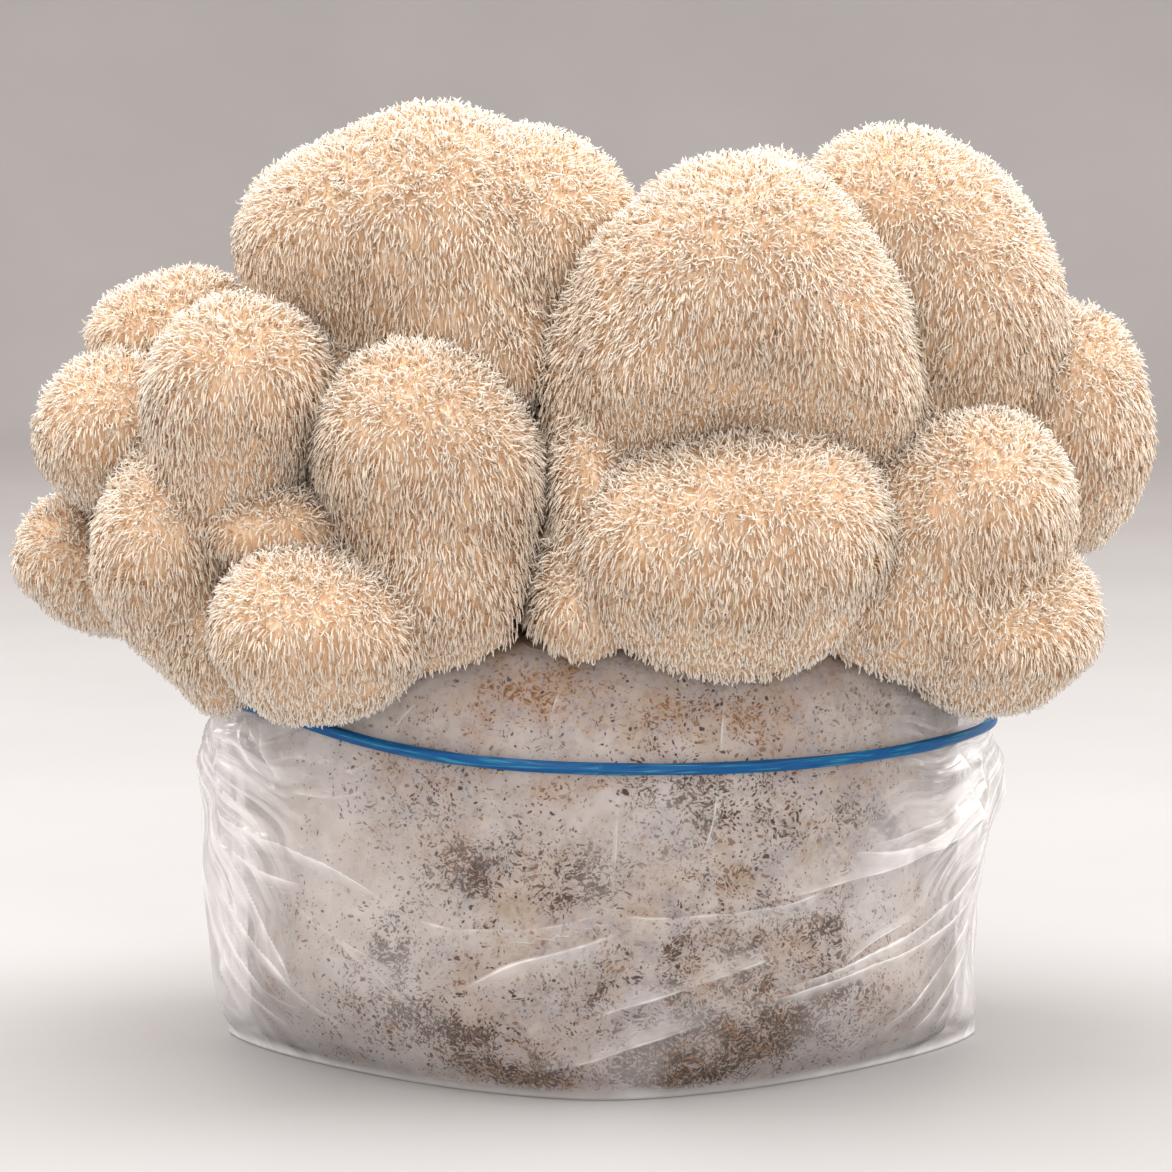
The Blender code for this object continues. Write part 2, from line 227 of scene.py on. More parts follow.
def make_mesh(name, points, *faces):
    """A smooth-shaded mesh from an array of points and arrays of corner numbers."""
    mesh = bpy.data.meshes.new(name)
    corners = np.concatenate([part.ravel() for part in faces]).astype(np.int32)
    sizes = np.concatenate([np.full(len(part), part.shape[1]) for part in faces])
    mesh.vertices.add(len(points))
    mesh.vertices.foreach_set("co", np.asarray(points, np.float32).ravel())
    mesh.loops.add(len(corners))
    mesh.loops.foreach_set("vertex_index", corners)
    mesh.polygons.add(len(sizes))
    mesh.polygons.foreach_set("loop_start", (np.cumsum(sizes) - sizes).astype(np.int32))
    mesh.update(calc_edges=True)
    mesh.shade_smooth()
    return mesh


def set_values(mesh, name, values):
    """One number for every point of a mesh, which its material reads by name."""
    mesh.attributes.new(name, "FLOAT", "POINT").data.foreach_set(
        "value", np.asarray(values, np.float32).ravel())


def new_object(name, data):
    """An object in the scene that holds a mesh, a light or a camera."""
    thing = bpy.data.objects.new(name, data)
    bpy.context.scene.collection.objects.link(thing)
    return thing


def add_piece(name, mesh, material, slot, *nodes):
    """Put a finished mesh into the scene, riding on the body in place of CAD nodes."""
    mesh.materials.append(material)
    piece = new_object(name, mesh)
    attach(piece, BODY)
    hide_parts(*nodes)


def ring_faces(rows, columns):
    """Quads between neighbouring rows of closed rings, facing outwards when the rings run
    anticlockwise seen from above and the rows go up.
    """
    row, column = np.meshgrid(np.arange(rows - 1), np.arange(columns), indexing="ij")
    after = (column + 1) % columns
    quads = np.stack([row * columns + column, row * columns + after,
                      (row + 1) * columns + after, (row + 1) * columns + column], axis=-1)
    return quads.reshape(-1, 4)


def pole_faces(row, columns, pole, upwards):
    """A fan of triangles from a ring to the one point that closes it."""
    column = np.arange(columns)
    after = (column + 1) % columns
    first, second = (column, after) if upwards else (after, column)
    ring = row * columns
    return np.stack([ring + first, ring + second, np.full(columns, pole)], axis=-1)


# Material nodes

def new_material(name):
    """A material with one Principled shader, and its tree."""
    material = bpy.data.materials.new(name)
    material.use_nodes = True
    return material, material.node_tree, material.node_tree.nodes["Principled BSDF"]


def feed(socket, value):
    """Give a node's input a number or colour of its own, or link an output to it."""
    if isinstance(value, bpy.types.NodeSocket):
        socket.id_data.links.new(value, socket)
    else:
        socket.default_value = value


def add(tree, kind, **settings):
    """A shader node with its settings. A setting that names an input socket feeds that input."""
    node = tree.nodes.new("ShaderNode" + kind)
    for key, value in settings.items():
        if hasattr(node, key):
            setattr(node, key, value)
        else:
            feed(node.inputs[key.replace("_", " ")], value)
    return node


def read_value(tree, name):
    """The output that gives a point's own number."""
    return add(tree, "Attribute", attribute_name=name).outputs["Fac"]


def object_place(tree):
    """The output that gives the place in object coordinates."""
    return add(tree, "TexCoord").outputs["Object"]


def mix_colour(tree, factor, first, second, blend="MIX"):
    """Two colours mixed by a factor. Each may be a colour or an output."""
    node = add(tree, "Mix", data_type="RGBA", blend_type=blend)
    feed(node.inputs[0], factor)
    for number, colour in ((6, first), (7, second)):
        feed(node.inputs[number], (*colour, 1.0) if isinstance(colour, tuple) else colour)
    return node.outputs[2]


def calculate(tree, operation, first, second=0.0, clamp=False):
    """One sum on numbers or outputs."""
    node = add(tree, "Math", operation=operation, use_clamp=clamp)
    for socket, value in zip(node.inputs, (first, second)):
        feed(socket, value)
    return node.outputs[0]


def times(tree, first, second, clamp=False):
    """The product of two numbers or outputs."""
    return calculate(tree, "MULTIPLY", first, second, clamp)


def noise_at(tree, place, **settings):
    """The output of a noise texture at a place."""
    return add(tree, "TexNoise", Vector=place, **settings).outputs["Fac"]


def place_group(tree, group, place, **values):
    """One of the shared effects, set with its own values, each a number or an output."""
    node = tree.nodes.new("ShaderNodeGroup")
    node.node_tree = group
    for key, value in {"Place": place, **values}.items():
        feed(node.inputs[key], value)
    return node.outputs[0]


def set_surface(tree, shader, colour, raised, strength, distance):
    """A shader's base colour, and its normal from a bump of a strength and height."""
    bump = add(tree, "Bump", Strength=strength, Distance=distance, Height=raised)
    feed(shader.inputs["Base Color"], colour)
    feed(shader.inputs["Normal"], bump.outputs["Normal"])


def new_group(name, output, **inputs):
    """An empty group with a Place input, number inputs with their usual values and an output:
    the group, what its inputs give by name, and the socket that it puts out.
    """
    group = bpy.data.node_groups.new(name, "ShaderNodeTree")
    group.interface.new_socket("Place", in_out="INPUT", socket_type="NodeSocketVector")
    for key, value in inputs.items():
        socket = group.interface.new_socket(key, in_out="INPUT", socket_type="NodeSocketFloat")
        socket.default_value = value
    group.interface.new_socket(output, in_out="OUTPUT", socket_type="NodeSocketFloat")
    given, out = group.nodes.new("NodeGroupInput"), group.nodes.new("NodeGroupOutput")
    return group, given.outputs, out.inputs[output]


def soft_patches_group():
    """Soft patches: noise of a scale, stepped smoothly from 0 at Low to 1 at High."""
    group, given, out = new_group("soft_patches", "Mask", Scale=30.0, Low=0.4, High=0.6)
    noise = noise_at(group, given["Place"], Scale=given["Scale"], Detail=3.0, Roughness=0.58)
    step = add(group, "MapRange", interpolation_type="SMOOTHSTEP", Value=noise,
               From_Min=given["Low"], From_Max=given["High"])
    feed(out, step.outputs["Result"])
    return group


def grain_group():
    """Fine grain for a bump: rough noise of a scale."""
    group, given, out = new_group("fine_grain", "Height", Scale=900.0, Rough=0.7)
    feed(out, noise_at(group, given["Place"], Scale=given["Scale"], Detail=5.0, Roughness=given["Rough"]))
    return group


SPECK_LEVEL = 0.74
SPECK_FALL = 0.23
SPECK_EDGE = 14.0
FLECK_EDGES = (12.0, 9.0)


def specks_group():
    """Specks of any shape: where noise is above a level that falls as Share rises."""
    group, given, out = new_group("specks", "Mask", Scale=700.0, Share=0.5)
    noise = noise_at(group, given["Place"], Scale=given["Scale"], Detail=2.5, Roughness=0.62)
    level = calculate(group, "SUBTRACT", SPECK_LEVEL, times(group, given["Share"], SPECK_FALL))
    feed(out, times(group, calculate(group, "SUBTRACT", noise, level), SPECK_EDGE, clamp=True))
    return group


def flecks_group():
    """Flecks: in every cell of a cell pattern whose own random number lies under Share, all
    that is nearer to the cell's middle than Size, which varies by half.
    """
    group, given, out = new_group("flecks", "Mask", Scale=600.0, Size=0.3, Share=0.5)
    cells = add(group, "TexVoronoi", Vector=given["Place"], Scale=given["Scale"])
    own = add(group, "SeparateColor", Color=cells.outputs["Color"])
    kept = calculate(group, "SUBTRACT", given["Share"], own.outputs[0])
    kept = times(group, kept, FLECK_EDGES[0], clamp=True)
    size = times(group, given["Size"], calculate(group, "ADD", own.outputs[1], 0.5))
    inside = calculate(group, "SUBTRACT", size, cells.outputs["Distance"])
    feed(out, times(group, kept, times(group, inside, FLECK_EDGES[1], clamp=True)))
    return group


SOFT_PATCHES = soft_patches_group()
FLECKS = flecks_group()
SPECKS = specks_group()
FINE_GRAIN = grain_group()


# Camera, floor and light

def make_camera():
    """The photograph's view: the lens is focal pixels over image pixels, in sensor widths."""
    data = bpy.data.cameras.new("camera")
    data.sensor_width = SENSOR_WIDTH
    data.lens = FOCAL_PIXELS / IMAGE_SIZE * SENSOR_WIDTH
    camera = new_object("camera", data)
    camera.location = CAMERA_PLACE
    camera.rotation_euler = (math.radians(CAMERA_TILT), 0.0, 0.0)
    bpy.context.scene.camera = camera


def make_floor():
    """A plain pale floor: flat out to FLOOR_FLAT, then rising in a curve all round, which
    hides the horizon. The height is FLOOR_RISE (1 - cos t) and the radius grows with sin t.
    """
    t = np.linspace(0.0, 0.5 * math.pi, FLOOR_ROWS)
    radius = np.concatenate([[0.5 * FLOOR_FLAT], FLOOR_FLAT + FLOOR_RISE * np.sin(t)])
    height = np.concatenate([[0.0], FLOOR_RISE * (1.0 - np.cos(t))])
    turn = 2.0 * math.pi * np.arange(FLOOR_COLUMNS) / FLOOR_COLUMNS
    points = np.stack([radius[:, None] * np.cos(turn), radius[:, None] * np.sin(turn),
                       height[:, None] + 0.0 * turn], axis=-1)
    rows, columns = points.shape[:2]
    mesh = make_mesh("floor", np.concatenate([points.reshape(-1, 3), [(0.0, 0.0, 0.0)]]),
                     ring_faces(rows, columns)[:, ::-1], pole_faces(0, columns, rows * columns, True))
    material, tree, shader = new_material("pale_floor")
    patches = place_group(tree, SOFT_PATCHES, object_place(tree), Scale=3.0, Low=0.3, High=0.7)
    feed(shader.inputs["Base Color"], mix_colour(tree, patches, (0.40, 0.405, 0.42), (0.43, 0.435, 0.45)))
    feed(shader.inputs["Roughness"], 0.5)
    mesh.materials.append(material)
    floor = new_object("floor", mesh)
    floor.location.z = -FLOOR_DROP


def add_light(name, place, target, size, power, colour):
    """A square area light that faces a place."""
    data = bpy.data.lights.new(name, "AREA")
    data.size = size
    data.energy = power
    data.color = colour
    light = new_object(name, data)
    light.location = place
    towards = Vector(target) - Vector(place)
    light.rotation_euler = towards.to_track_quat("-Z", "Y").to_euler()


# Area lights: name, place, size, power and colour, all facing one place
LIGHTS = (
    ("top_light", (-0.1, 0.12, 1.5), 1.1, 18.0, (1.0, 0.985, 0.96)),
    ("left_light", (-1.3, 0.5, 0.9), 0.7, 13.0, (1.0, 0.99, 0.97)),
    ("right_light", (1.3, 0.3, 0.9), 0.7, 16.0, (1.0, 0.99, 0.97)),
    ("front_light", (0.2, -1.8, 0.12), 1.4, 17.5, (1.0, 0.965, 0.93)),
)
LIT_PLACE = (0.0, 0.0, 150 * MM)
SKY_COLOUR = (0.79, 0.70, 0.64, 1.0)
SKY_STRENGTH = 1.38


def make_light():
    """Soft studio light: a broad light above, one at each side behind, and a fill in front."""
    for name, place, size, power, colour in LIGHTS:
        add_light(name, place, LIT_PLACE, size, power, colour)
    world = bpy.data.worlds.new("studio")
    world.use_nodes = True
    background = world.node_tree.nodes["Background"]
    feed(background.inputs["Color"], SKY_COLOUR)
    feed(background.inputs["Strength"], SKY_STRENGTH)
    bpy.context.scene.world = world
    bpy.context.scene.view_settings.view_transform = "Standard"


# Block and bag: level rings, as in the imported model

def shoulder_scale(height):
    """How much of its full width a level keeps: 1 up to the shoulder, then a quarter round."""
    rise = np.clip((height - BLOCK_SHOULDER) / SHOULDER_SPAN, 0.0, 1.0)
    return TOP_SCALE + (1.0 - TOP_SCALE) * np.sqrt(1.0 - rise ** ROUND_POWER)


def level_points(angle, height, grow):
    """Points on the block's side at angles and heights, moved out by grow.

    x = a |cos|^(2/p) and y = b |sin|^(2/q), each with its sign. The powers go from pointed
    ends at the floor to rounded ones above. The move is along the ellipse's own normal.
    """
    upright = smooth_step(0.0, FOOT_HEIGHT, height)
    end_power = FOOT_END_POWER + (TOP_POWER - FOOT_END_POWER) * upright
    side_power = FOOT_SIDE_POWER + (TOP_POWER - FOOT_SIDE_POWER) * upright
    scale = shoulder_scale(height) * (1.0 - FOOT_EDGE * (1.0 - smooth_step(0.0, EDGE_HEIGHT, height)))
    spread = 1.0 + FOOT_SPREAD * (1.0 - smooth_step(0.0, SAG_HEIGHT, height))
    cosine, sine = np.cos(angle), np.sin(angle)
    x = BLOCK_HALF_WIDTH * scale * np.sign(cosine) * np.abs(cosine) ** (2.0 / side_power)
    y = BLOCK_HALF_DEPTH * scale * spread * np.sign(sine) * np.abs(sine) ** (2.0 / end_power)
    length = np.hypot(x / BLOCK_HALF_WIDTH ** 2, y / BLOCK_HALF_DEPTH ** 2)
    x = x + grow * x / BLOCK_HALF_WIDTH ** 2 / length
    y = y + grow * y / BLOCK_HALF_DEPTH ** 2 / length
    return np.stack([x, y, height + 0.0 * x], axis=-1)


ROUND_STEPS = 720
REFERENCE_HEIGHT = 50 * MM


def even_angles(columns, crowding=0.0):
    """Angles of points spaced along the block's outline, and their unrolled places.

    The unrolled place is the length along the outline from the middle of the front, positive
    to the right and negative to the left, up to half the way round. The crowding is how much
    closer the points stand in front than on average, by a cosine.
    """
    fine = np.linspace(-0.5 * math.pi, 1.5 * math.pi, ROUND_STEPS + 1)
    outline = level_points(fine, REFERENCE_HEIGHT, 0.0)
    steps = np.linalg.norm(np.diff(outline, axis=0), axis=1)
    length = np.concatenate([[0.0], np.cumsum(steps)])
    share = np.arange(columns) / columns
    wanted = length[-1] * (share - crowding * np.sin(2.0 * math.pi * share) / (2.0 * math.pi))
    unrolled = np.where(wanted > 0.5 * length[-1], wanted - length[-1], wanted)
    return np.interp(wanted, length, fine), unrolled, length[-1]


BLOCK_COLUMNS = 420
BLOCK_SIDE_ROWS = 84
BLOCK_CAP_ROWS = 26
LUMP_DEPTH = 0.9 * MM
LUMP_SIZE = 11 * MM
PIT_DEPTH = 0.35 * MM
PIT_SIZE = 2.6 * MM
BLOCK_INSET = 0.4 * MM
BLOCK_FIXED = 4 * MM
END_SHARE = 0.3

# Patches: how far their outlines are shifted by noise, how fast they fall off, the thin share
# all round, and the clumps that break them up
PATCH_SHIFT = 7 * MM
PATCH_UNEVEN = 11 * MM
PATCH_FALL = 0.7
PATCH_FILLED = 0.85
PATCH_CLUMPED = 0.4
THIN_SHARE = 0.04
THIN_CLUMPED = 0.22
PATCH_MOST = 1.2
CLUMPS = ((1.0, 7 * MM), (0.8, 3 * MM))
CLUMP_RANGE = (-0.7, 0.7)

# Patches where the sawdust shows through, white ones and orange stains: place across and
# height of the middle, half-width, half-height, in millimetres on the unrolled side, strength
SAWDUST_PATCHES_MM = (
    (-37, 58, 10, 9, 1.25), (-48, 78, 16, 13, 0.45), (-10, 57, 14, 8, 0.7), (8, 71, 10, 16, 0.5),
    (25, 69, 14, 17, 0.75), (42, 72, 13, 11, 0.5), (73, 70, 11, 8, 0.85), (16, 34, 9, 11, 0.95),
    (34, 38, 12, 11, 0.95), (61, 39, 16, 10, 0.7), (52, 23, 23, 9, 1.0), (26, 13, 28, 11, 1.25),
    (64, 11, 16, 8, 0.6), (-54, 33, 17, 10, 0.7), (-54, 21, 18, 7, 0.9), (-40, 15, 16, 9, 1.15),
    (-26, 8, 13, 9, 1.3), (-4, 26, 14, 12, 0.7), (-69, 9, 16, 5, 0.5), (-87, 33, 13, 12, 0.3),
    (-107, 11, 7, 10, 0.45), (-15, 13, 13, 9, 0.3), (9, 95, 7, 5, 0.5), (34, 100, 18, 7, 0.4),
    (-17, 101, 16, 8, 0.4), (73, 98, 13, 7, 0.4), (-48, 84, 12, 4, 0.4), (94, 28, 7, 16, 0.35),
)
WHITE_MM = (
    (-88, 50, 34, 48, 1.1), (-60, 40, 18, 36, 0.8), (-100, 12, 24, 20, 1.0), (14, 80, 34, 12, 0.6),
    (88, 18, 18, 24, 1.1), (98, 50, 16, 30, 0.5), (0, 62, 50, 8, 0.25),
)
STAINS_MM = (
    (-15, 101, 21, 9, 0.9), (30, 98, 31, 8, 0.9), (-42, 85, 18, 7, 0.9), (-8, 78, 21, 5, 0.7),
    (73, 82, 21, 8, 0.8), (25, 12, 21, 7, 0.9), (-26, 5, 13, 6, 0.9), (-87, 37, 16, 16, 0.4),
    (-104, 16, 7, 13, 0.8), (85, 19, 13, 16, 0.6), (-3, 56, 31, 21, 0.25), (-32, 24, 8, 13, 0.4),
    (34, 35, 10, 10, 0.5), (-58, 64, 18, 13, 0.35),
)


def patch_share(patches, across, height, places, round_length, seed):
    """How strongly patches show: their bells on the front, and again on the back, over a thin
    share all round, with outlines shifted by noise and broken up into clumps by two more.
    """
    behind = across - np.copysign(0.5 * round_length, across)
    aside, upward = (PATCH_SHIFT * soft_noise(places, PATCH_UNEVEN, seed + turn) for turn in (20, 30))
    share = np.zeros(across.shape)
    for x, z, half_width, half_height, strength in patches:
        for side in (across, behind):
            bell = ((side + aside - x * MM) / (half_width * MM)) ** 2
            bell += ((height + upward - z * MM) / (half_height * MM)) ** 2
            share = np.maximum(share, strength * np.exp(-PATCH_FALL * bell))
    rough = sum(weight * soft_noise(places, size, seed + number)
                for number, (weight, size) in enumerate(CLUMPS))
    clumps = smooth_step(*CLUMP_RANGE, rough)
    share = share * (PATCH_FILLED + PATCH_CLUMPED * clumps) + THIN_SHARE + THIN_CLUMPED * clumps
    return np.clip(share, 0.0, PATCH_MOST)


def build_block():
    """The block: level rings from its bottom to its top, closed by rings that shrink to a
    point, pushed out and in along the outline by two noises.
    """
    angle, across, round_length = even_angles(BLOCK_COLUMNS)
    height = np.linspace(BLOCK_BOTTOM, BLOCK_TOP, BLOCK_SIDE_ROWS)
    shrink = (1.0 - np.linspace(0.0, 1.0, BLOCK_CAP_ROWS, endpoint=False))[1:]
    levels = np.concatenate([np.full(len(shrink), BLOCK_BOTTOM), height, np.full(len(shrink), BLOCK_TOP)])
    inward = np.concatenate([shrink[::-1], np.ones(len(height)), shrink])
    points = level_points(angle[None, :], levels[:, None], 0.0)
    lumps = LUMP_DEPTH * soft_noise(points, LUMP_SIZE, 1)
    lumps -= PIT_DEPTH * np.abs(soft_noise(points, PIT_SIZE, 2))
    free = smooth_step(BLOCK_BOTTOM, BLOCK_BOTTOM + BLOCK_FIXED, levels)[:, None]
    points = level_points(angle[None, :], levels[:, None], (lumps - BLOCK_INSET) * free)
    points[..., :2] *= inward[:, None, None]
    across_grid, level_grid = np.meshgrid(across, levels)
    rows, columns = points.shape[:2]
    count = rows * columns
    ends = np.array([(0.0, 0.0, BLOCK_BOTTOM), (0.0, 0.0, BLOCK_TOP)])
    mesh = make_mesh("substrate_block", np.concatenate([points.reshape(-1, 3), ends]),
                     ring_faces(rows, columns), pole_faces(0, columns, count, False),
                     pole_faces(rows - 1, columns, count + 1, True))
    for name, patches, seed in (("sawdust", SAWDUST_PATCHES_MM, 3), ("stain", STAINS_MM, 5),
                                ("white", WHITE_MM, 7)):
        share = patch_share(patches, across_grid, level_grid, points, round_length, seed)
        set_values(mesh, name, np.append(share.ravel(), (END_SHARE, END_SHARE)))
    add_piece("mycelium_block", mesh, mycelium_material(), "mycelium", "substrate_block")


# Marks on the block: shape, scale, most, tint and the number that rules where they lie
BLOCK_MARKS = (
    (SPECKS, 400.0, 0.70, "pale", "sawdust"), (SPECKS, 400.0, 0.58, "brown", "sawdust"),
    (SPECKS, 780.0, 1.05, "pale", "sawdust"), (SPECKS, 780.0, 0.90, "brown", "sawdust"),
    (FLECKS, 560.0, 0.90, "pale", "sawdust"), (FLECKS, 900.0, 1.00, "brown", "sawdust"),
    (FLECKS, 640.0, 0.55, "dark", "sawdust"), (SPECKS, 1300.0, 0.95, "dark", "sawdust"),
    (SPECKS, 800.0, 0.90, "orange", "stain"), (SPECKS, 800.0, 0.65, "rust", "stain"),
)


def mycelium_material():
    """White mycelium with lilac-grey and cream areas, orange stains, and dots and shavings of
    brown sawdust where the sawdust number is high. As painted shade, the top turns dark brown
    under the fruit bodies and the colour darkens towards the bottom.
    """
    material, tree, shader = new_material("mycelium")
    place = object_place(tree)
    shares = {name: read_value(tree, name) for name in ("sawdust", "stain", "white")}
    lilac = place_group(tree, SOFT_PATCHES, place, Scale=40.0, Low=0.40, High=0.60)
    cream = place_group(tree, SOFT_PATCHES, place, Scale=64.0, Low=0.50, High=0.66)
    mottle = place_group(tree, SOFT_PATCHES, place, Scale=240.0, Low=0.38, High=0.64)
    freckles = place_group(tree, SOFT_PATCHES, place, Scale=520.0, Low=0.50, High=0.66)
    colour = mix_colour(tree, lilac, (0.39, 0.35, 0.335), (0.31, 0.29, 0.31))
    colour = mix_colour(tree, cream, colour, (0.37, 0.285, 0.20))
    orange = times(tree, shares["stain"], calculate(tree, "ADD", mottle, 0.4), clamp=True)
    for factor, tint in ((times(tree, mottle, 0.6), (0.58, 0.555, 0.54)),
                         (times(tree, freckles, 0.55), (0.19, 0.145, 0.12)),
                         (times(tree, shares["white"], 0.75, clamp=True), (0.66, 0.62, 0.61)),
                         (times(tree, orange, 0.5), (0.30, 0.16, 0.065)),
                         (times(tree, shares["sawdust"], 0.22), (0.20, 0.155, 0.135))):
        colour = mix_colour(tree, factor, colour, tint)
    height = add(tree, "SeparateXYZ", Vector=place).outputs["Z"]
    # Painted shade: the colour darkens towards the bottom of the block, from 45 mm down, for the shade
    # near the floor.
    painted_foot_shade = add(tree, "MapRange", Value=height, From_Max=45 * MM, To_Min=0.45, To_Max=0.0)
    colour = mix_colour(tree, painted_foot_shade.outputs["Result"], colour, (0.15, 0.13, 0.125))
    warp = add(tree, "TexNoise", Vector=place, Scale=150.0, Detail=2.0).outputs["Color"]
    bent = add(tree, "VectorMath", operation="MULTIPLY_ADD")
    for socket, value in zip(bent.inputs, (warp, (8 * MM, 8 * MM, 5 * MM), place)):
        feed(socket, value)
    bent = bent.outputs[0]
    tints = {"pale": mix_colour(tree, cream, (0.21, 0.135, 0.095), (0.25, 0.13, 0.06)),
             "brown": mix_colour(tree, cream, (0.075, 0.042, 0.026), (0.13, 0.06, 0.025)),
             "dark": (0.032, 0.018, 0.012), "orange": (0.30, 0.15, 0.055), "rust": (0.14, 0.06, 0.02)}
    for group, scale, most, tint, rule in BLOCK_MARKS:
        marks = place_group(tree, group, bent, Scale=scale, Share=times(tree, shares[rule], most))
        colour = mix_colour(tree, marks, colour, tints[tint])
    # Painted shade: the top few millimetres turn dark brown, for the shade under the fruit bodies.
    top = add(tree, "MapRange", Value=height, From_Min=BLOCK_TOP - 5 * MM, From_Max=BLOCK_TOP - 1 * MM)
    colour = mix_colour(tree, top.outputs["Result"], colour, (0.14, 0.085, 0.045))
    feed(shader.inputs["Roughness"], 0.85)
    grain = place_group(tree, FINE_GRAIN, place, Scale=700.0, Rough=0.7)
    set_surface(tree, shader, colour, grain, 0.5, 0.5 * MM)
    return material


# Film

FILM_COLUMNS = 700
FRONT_CROWDING = 0.35
FILM_SIDE_ROWS = 118
FILM_FOOT = 6 * MM
FILM_FOOT_ROWS = 10
FILM_FLOOR_ROWS = 10
FILM_LEAST = 0.7 * MM

# Folds of the film, unrolled, in millimetres: half-width, rise and the places across and
# heights that the fold runs through. A minus rise leans the fold the other way.
FOLDS_MM = (
    (1.6, 2.0, (-121, 67), (-101, 61), (-84, 59), (-69, 55), (-51, 44)),
    (1.2, 1.4, (-109, 56), (-91, 51), (-79, 49)),
    (1.8, 2.0, (-119, 63), (-101, 48), (-93, 36), (-81, 17)),
    (1.6, 1.8, (-118, 46), (-101, 36), (-90, 27), (-76, 16), (-68, 11)),
    (1.4, 1.6, (-116, 37), (-102, 28), (-92, 19), (-80, 16)),
    (1.2, -1.4, (-115, 26), (-108, 15), (-104, 6)),
    (1.2, 1.2, (-113, 30), (-99, 17), (-87, 8)),
    (1.0, -1.0, (-111, 52), (-108, 41), (-98, 30)),
    (2.2, 2.0, (-116, 91), (-115, 83), (-113, 71)),
    (2.0, 1.8, (-107, 92), (-101, 83), (-95, 76)),
    (1.8, -1.4, (-99, 93), (-94, 85), (-90, 75)),
    (1.4, 1.2, (-122, 76), (-106, 69), (-96, 61)),
    (1.0, 0.8, (-93, 93), (-82, 91), (-72, 89)),
    (0.9, 0.7, (-70, 81), (-63, 84), (-56, 87)),
    (1.0, -0.8, (-87, 74), (-70, 74), (-58, 78)),
    (0.9, 0.6, (-72, 38), (-57, 33), (-45, 26)),
    (0.8, -0.6, (-87, 44), (-69, 36), (-48, 21), (-34, 14)),
    (1.5, 2.2, (109, 69), (98, 64), (90, 60), (73, 60), (63, 60)),
    (1.0, 1.2, (97, 66), (85, 64), (72, 62)),
    (2.2, -1.4, (113, 64), (94, 58), (67, 53), (33, 49)),
    (1.6, 2.0, (116, 56), (107, 48), (86, 37), (63, 31), (48, 28), (33, 25)),
    (1.6, 1.8, (115, 46), (101, 38), (86, 33), (63, 29), (43, 25), (24, 22)),
    (1.0, -1.2, (87, 41), (77, 38), (68, 34), (61, 30)),
    (1.6, 1.8, (113, 40), (103, 31), (94, 23), (86, 16), (75, 9)),
    (1.4, 1.4, (112, 32), (104, 22), (95, 13), (88, 6)),
    (1.2, 1.2, (111, 25), (103, 15), (96, 6)),
    (1.2, -1.2, (110, 17), (106, 11), (103, 6)),
    (2.0, -2.0, (107, 88), (112, 79), (116, 68)),
    (1.6, 1.6, (102, 86), (106, 76), (110, 65), (109, 55)),
    (1.2, 1.2, (120, 75), (116, 62), (111, 50)),
    (1.4, -1.4, (103, 70), (96, 59), (87, 49)),
    (1.0, 0.9, (32, 104), (28, 75), (24, 54)),
    (0.9, -0.8, (5, 82), (3, 65), (1, 48)),
    (2.6, 1.5, (5, 43), (-1, 41), (-14, 37), (-21, 35), (-31, 31), (-40, 27)),
    (0.8, 0.6, (-26, 115), (-18, 113), (-7, 114)),
    (2.4, -1.0, (45, 36), (25, 29), (9, 25), (-8, 19)),
    (2.2, 0.9, (-50, 45), (-42, 43), (-26, 43), (-11, 44), (6, 49)),
    (0.9, -0.8, (-48, 101), (-53, 94), (-58, 88)),
    (0.9, 0.7, (-11, 105), (-13, 97), (-12, 88)),
    (2.6, 1.0, (62, 52), (44, 48), (22, 46), (-4, 47)),
    (2.2, -0.9, (30, 20), (10, 14), (-12, 9), (-30, 7)),
)
FOLD_REACH = 3.0
FOLD_SETS = 3
FOLD_HEIGHT = 0.8
FOLD_SLOPES = (0.6, 1.8)
FOLD_FADE_IN = (0.0, 0.15)
FOLD_FADE_OUT = (0.6, 1.0)
FOLD_NEAR = 0.6
FOLD_FULL_RISE = 1.6
FOLD_WOBBLE = (0.9 * MM, 12 * MM)
NO_FOLD = 9.0

# The pleats fan out from one place at each side, unrolled: the distances from it between which
# they set in and end, the step between two pleats in radians, and how far they wander, in steps
FAN_CENTRES_MM = ((-150, 92), (150, 88))
FAN_START = (2 * MM, 24 * MM)
FAN_END = (38 * MM, 98 * MM)
FAN_WANDER = 1.1
FAN_WANDER_SIZE = 15 * MM
FAN_STEP = 0.085
PLEAT_LENGTH = 45 * MM
PLEAT_RISE = 1.5 * MM
PLEAT_LEAST = -0.3
FAN_APART = 20.0

# Uneven film: depth and width of two slack waves, the least they reach, and the billows
SLACK = ((0.6 * MM, 17 * MM), (0.3 * MM, 7 * MM))
SLACK_LEAST = -0.4 * MM
BILLOW = (0.35, 14 * MM)

# Beside the band: small pleats, and how far from it and from the floor the film is free
GATHER_COUNT = 61
GATHER_DEPTH = 0.5 * MM
GATHER_REACH = 6 * MM
GATHER_START = (1 * MM, 3 * MM)
GATHER_SWAY = (3.0, 20 * MM)
HELD_SHARE = 0.12
BAND_FREE = (2 * MM, 10 * MM)
FLOOR_FREE = (1 * MM, 9 * MM)

# Where the film looks milky: at its bottom edge, where it hangs loose and at the two ends
EDGE_FADE = (0.5 * MM, 4 * MM)
LOOSE_FULL = 7 * MM
END_FADE = (0.90, 0.995)

# Crumpled places where painted highlights, white glints, are put into the film: place across and height,
# half-width and half-height, millimetres
CRUMPLES_MM = ((-62, 49, 12, 7), (71, 61, 7, 4), (68, 34, 9, 7), (-15, 37, 19, 4), (-45, 72, 10, 6),
               (-95, 60, 14, 9), (-88, 28, 14, 10), (96, 38, 14, 12), (-60, 14, 10, 6), (-105, 84, 10, 9),
               (45, 30, 14, 6), (-5, 18, 12, 7))


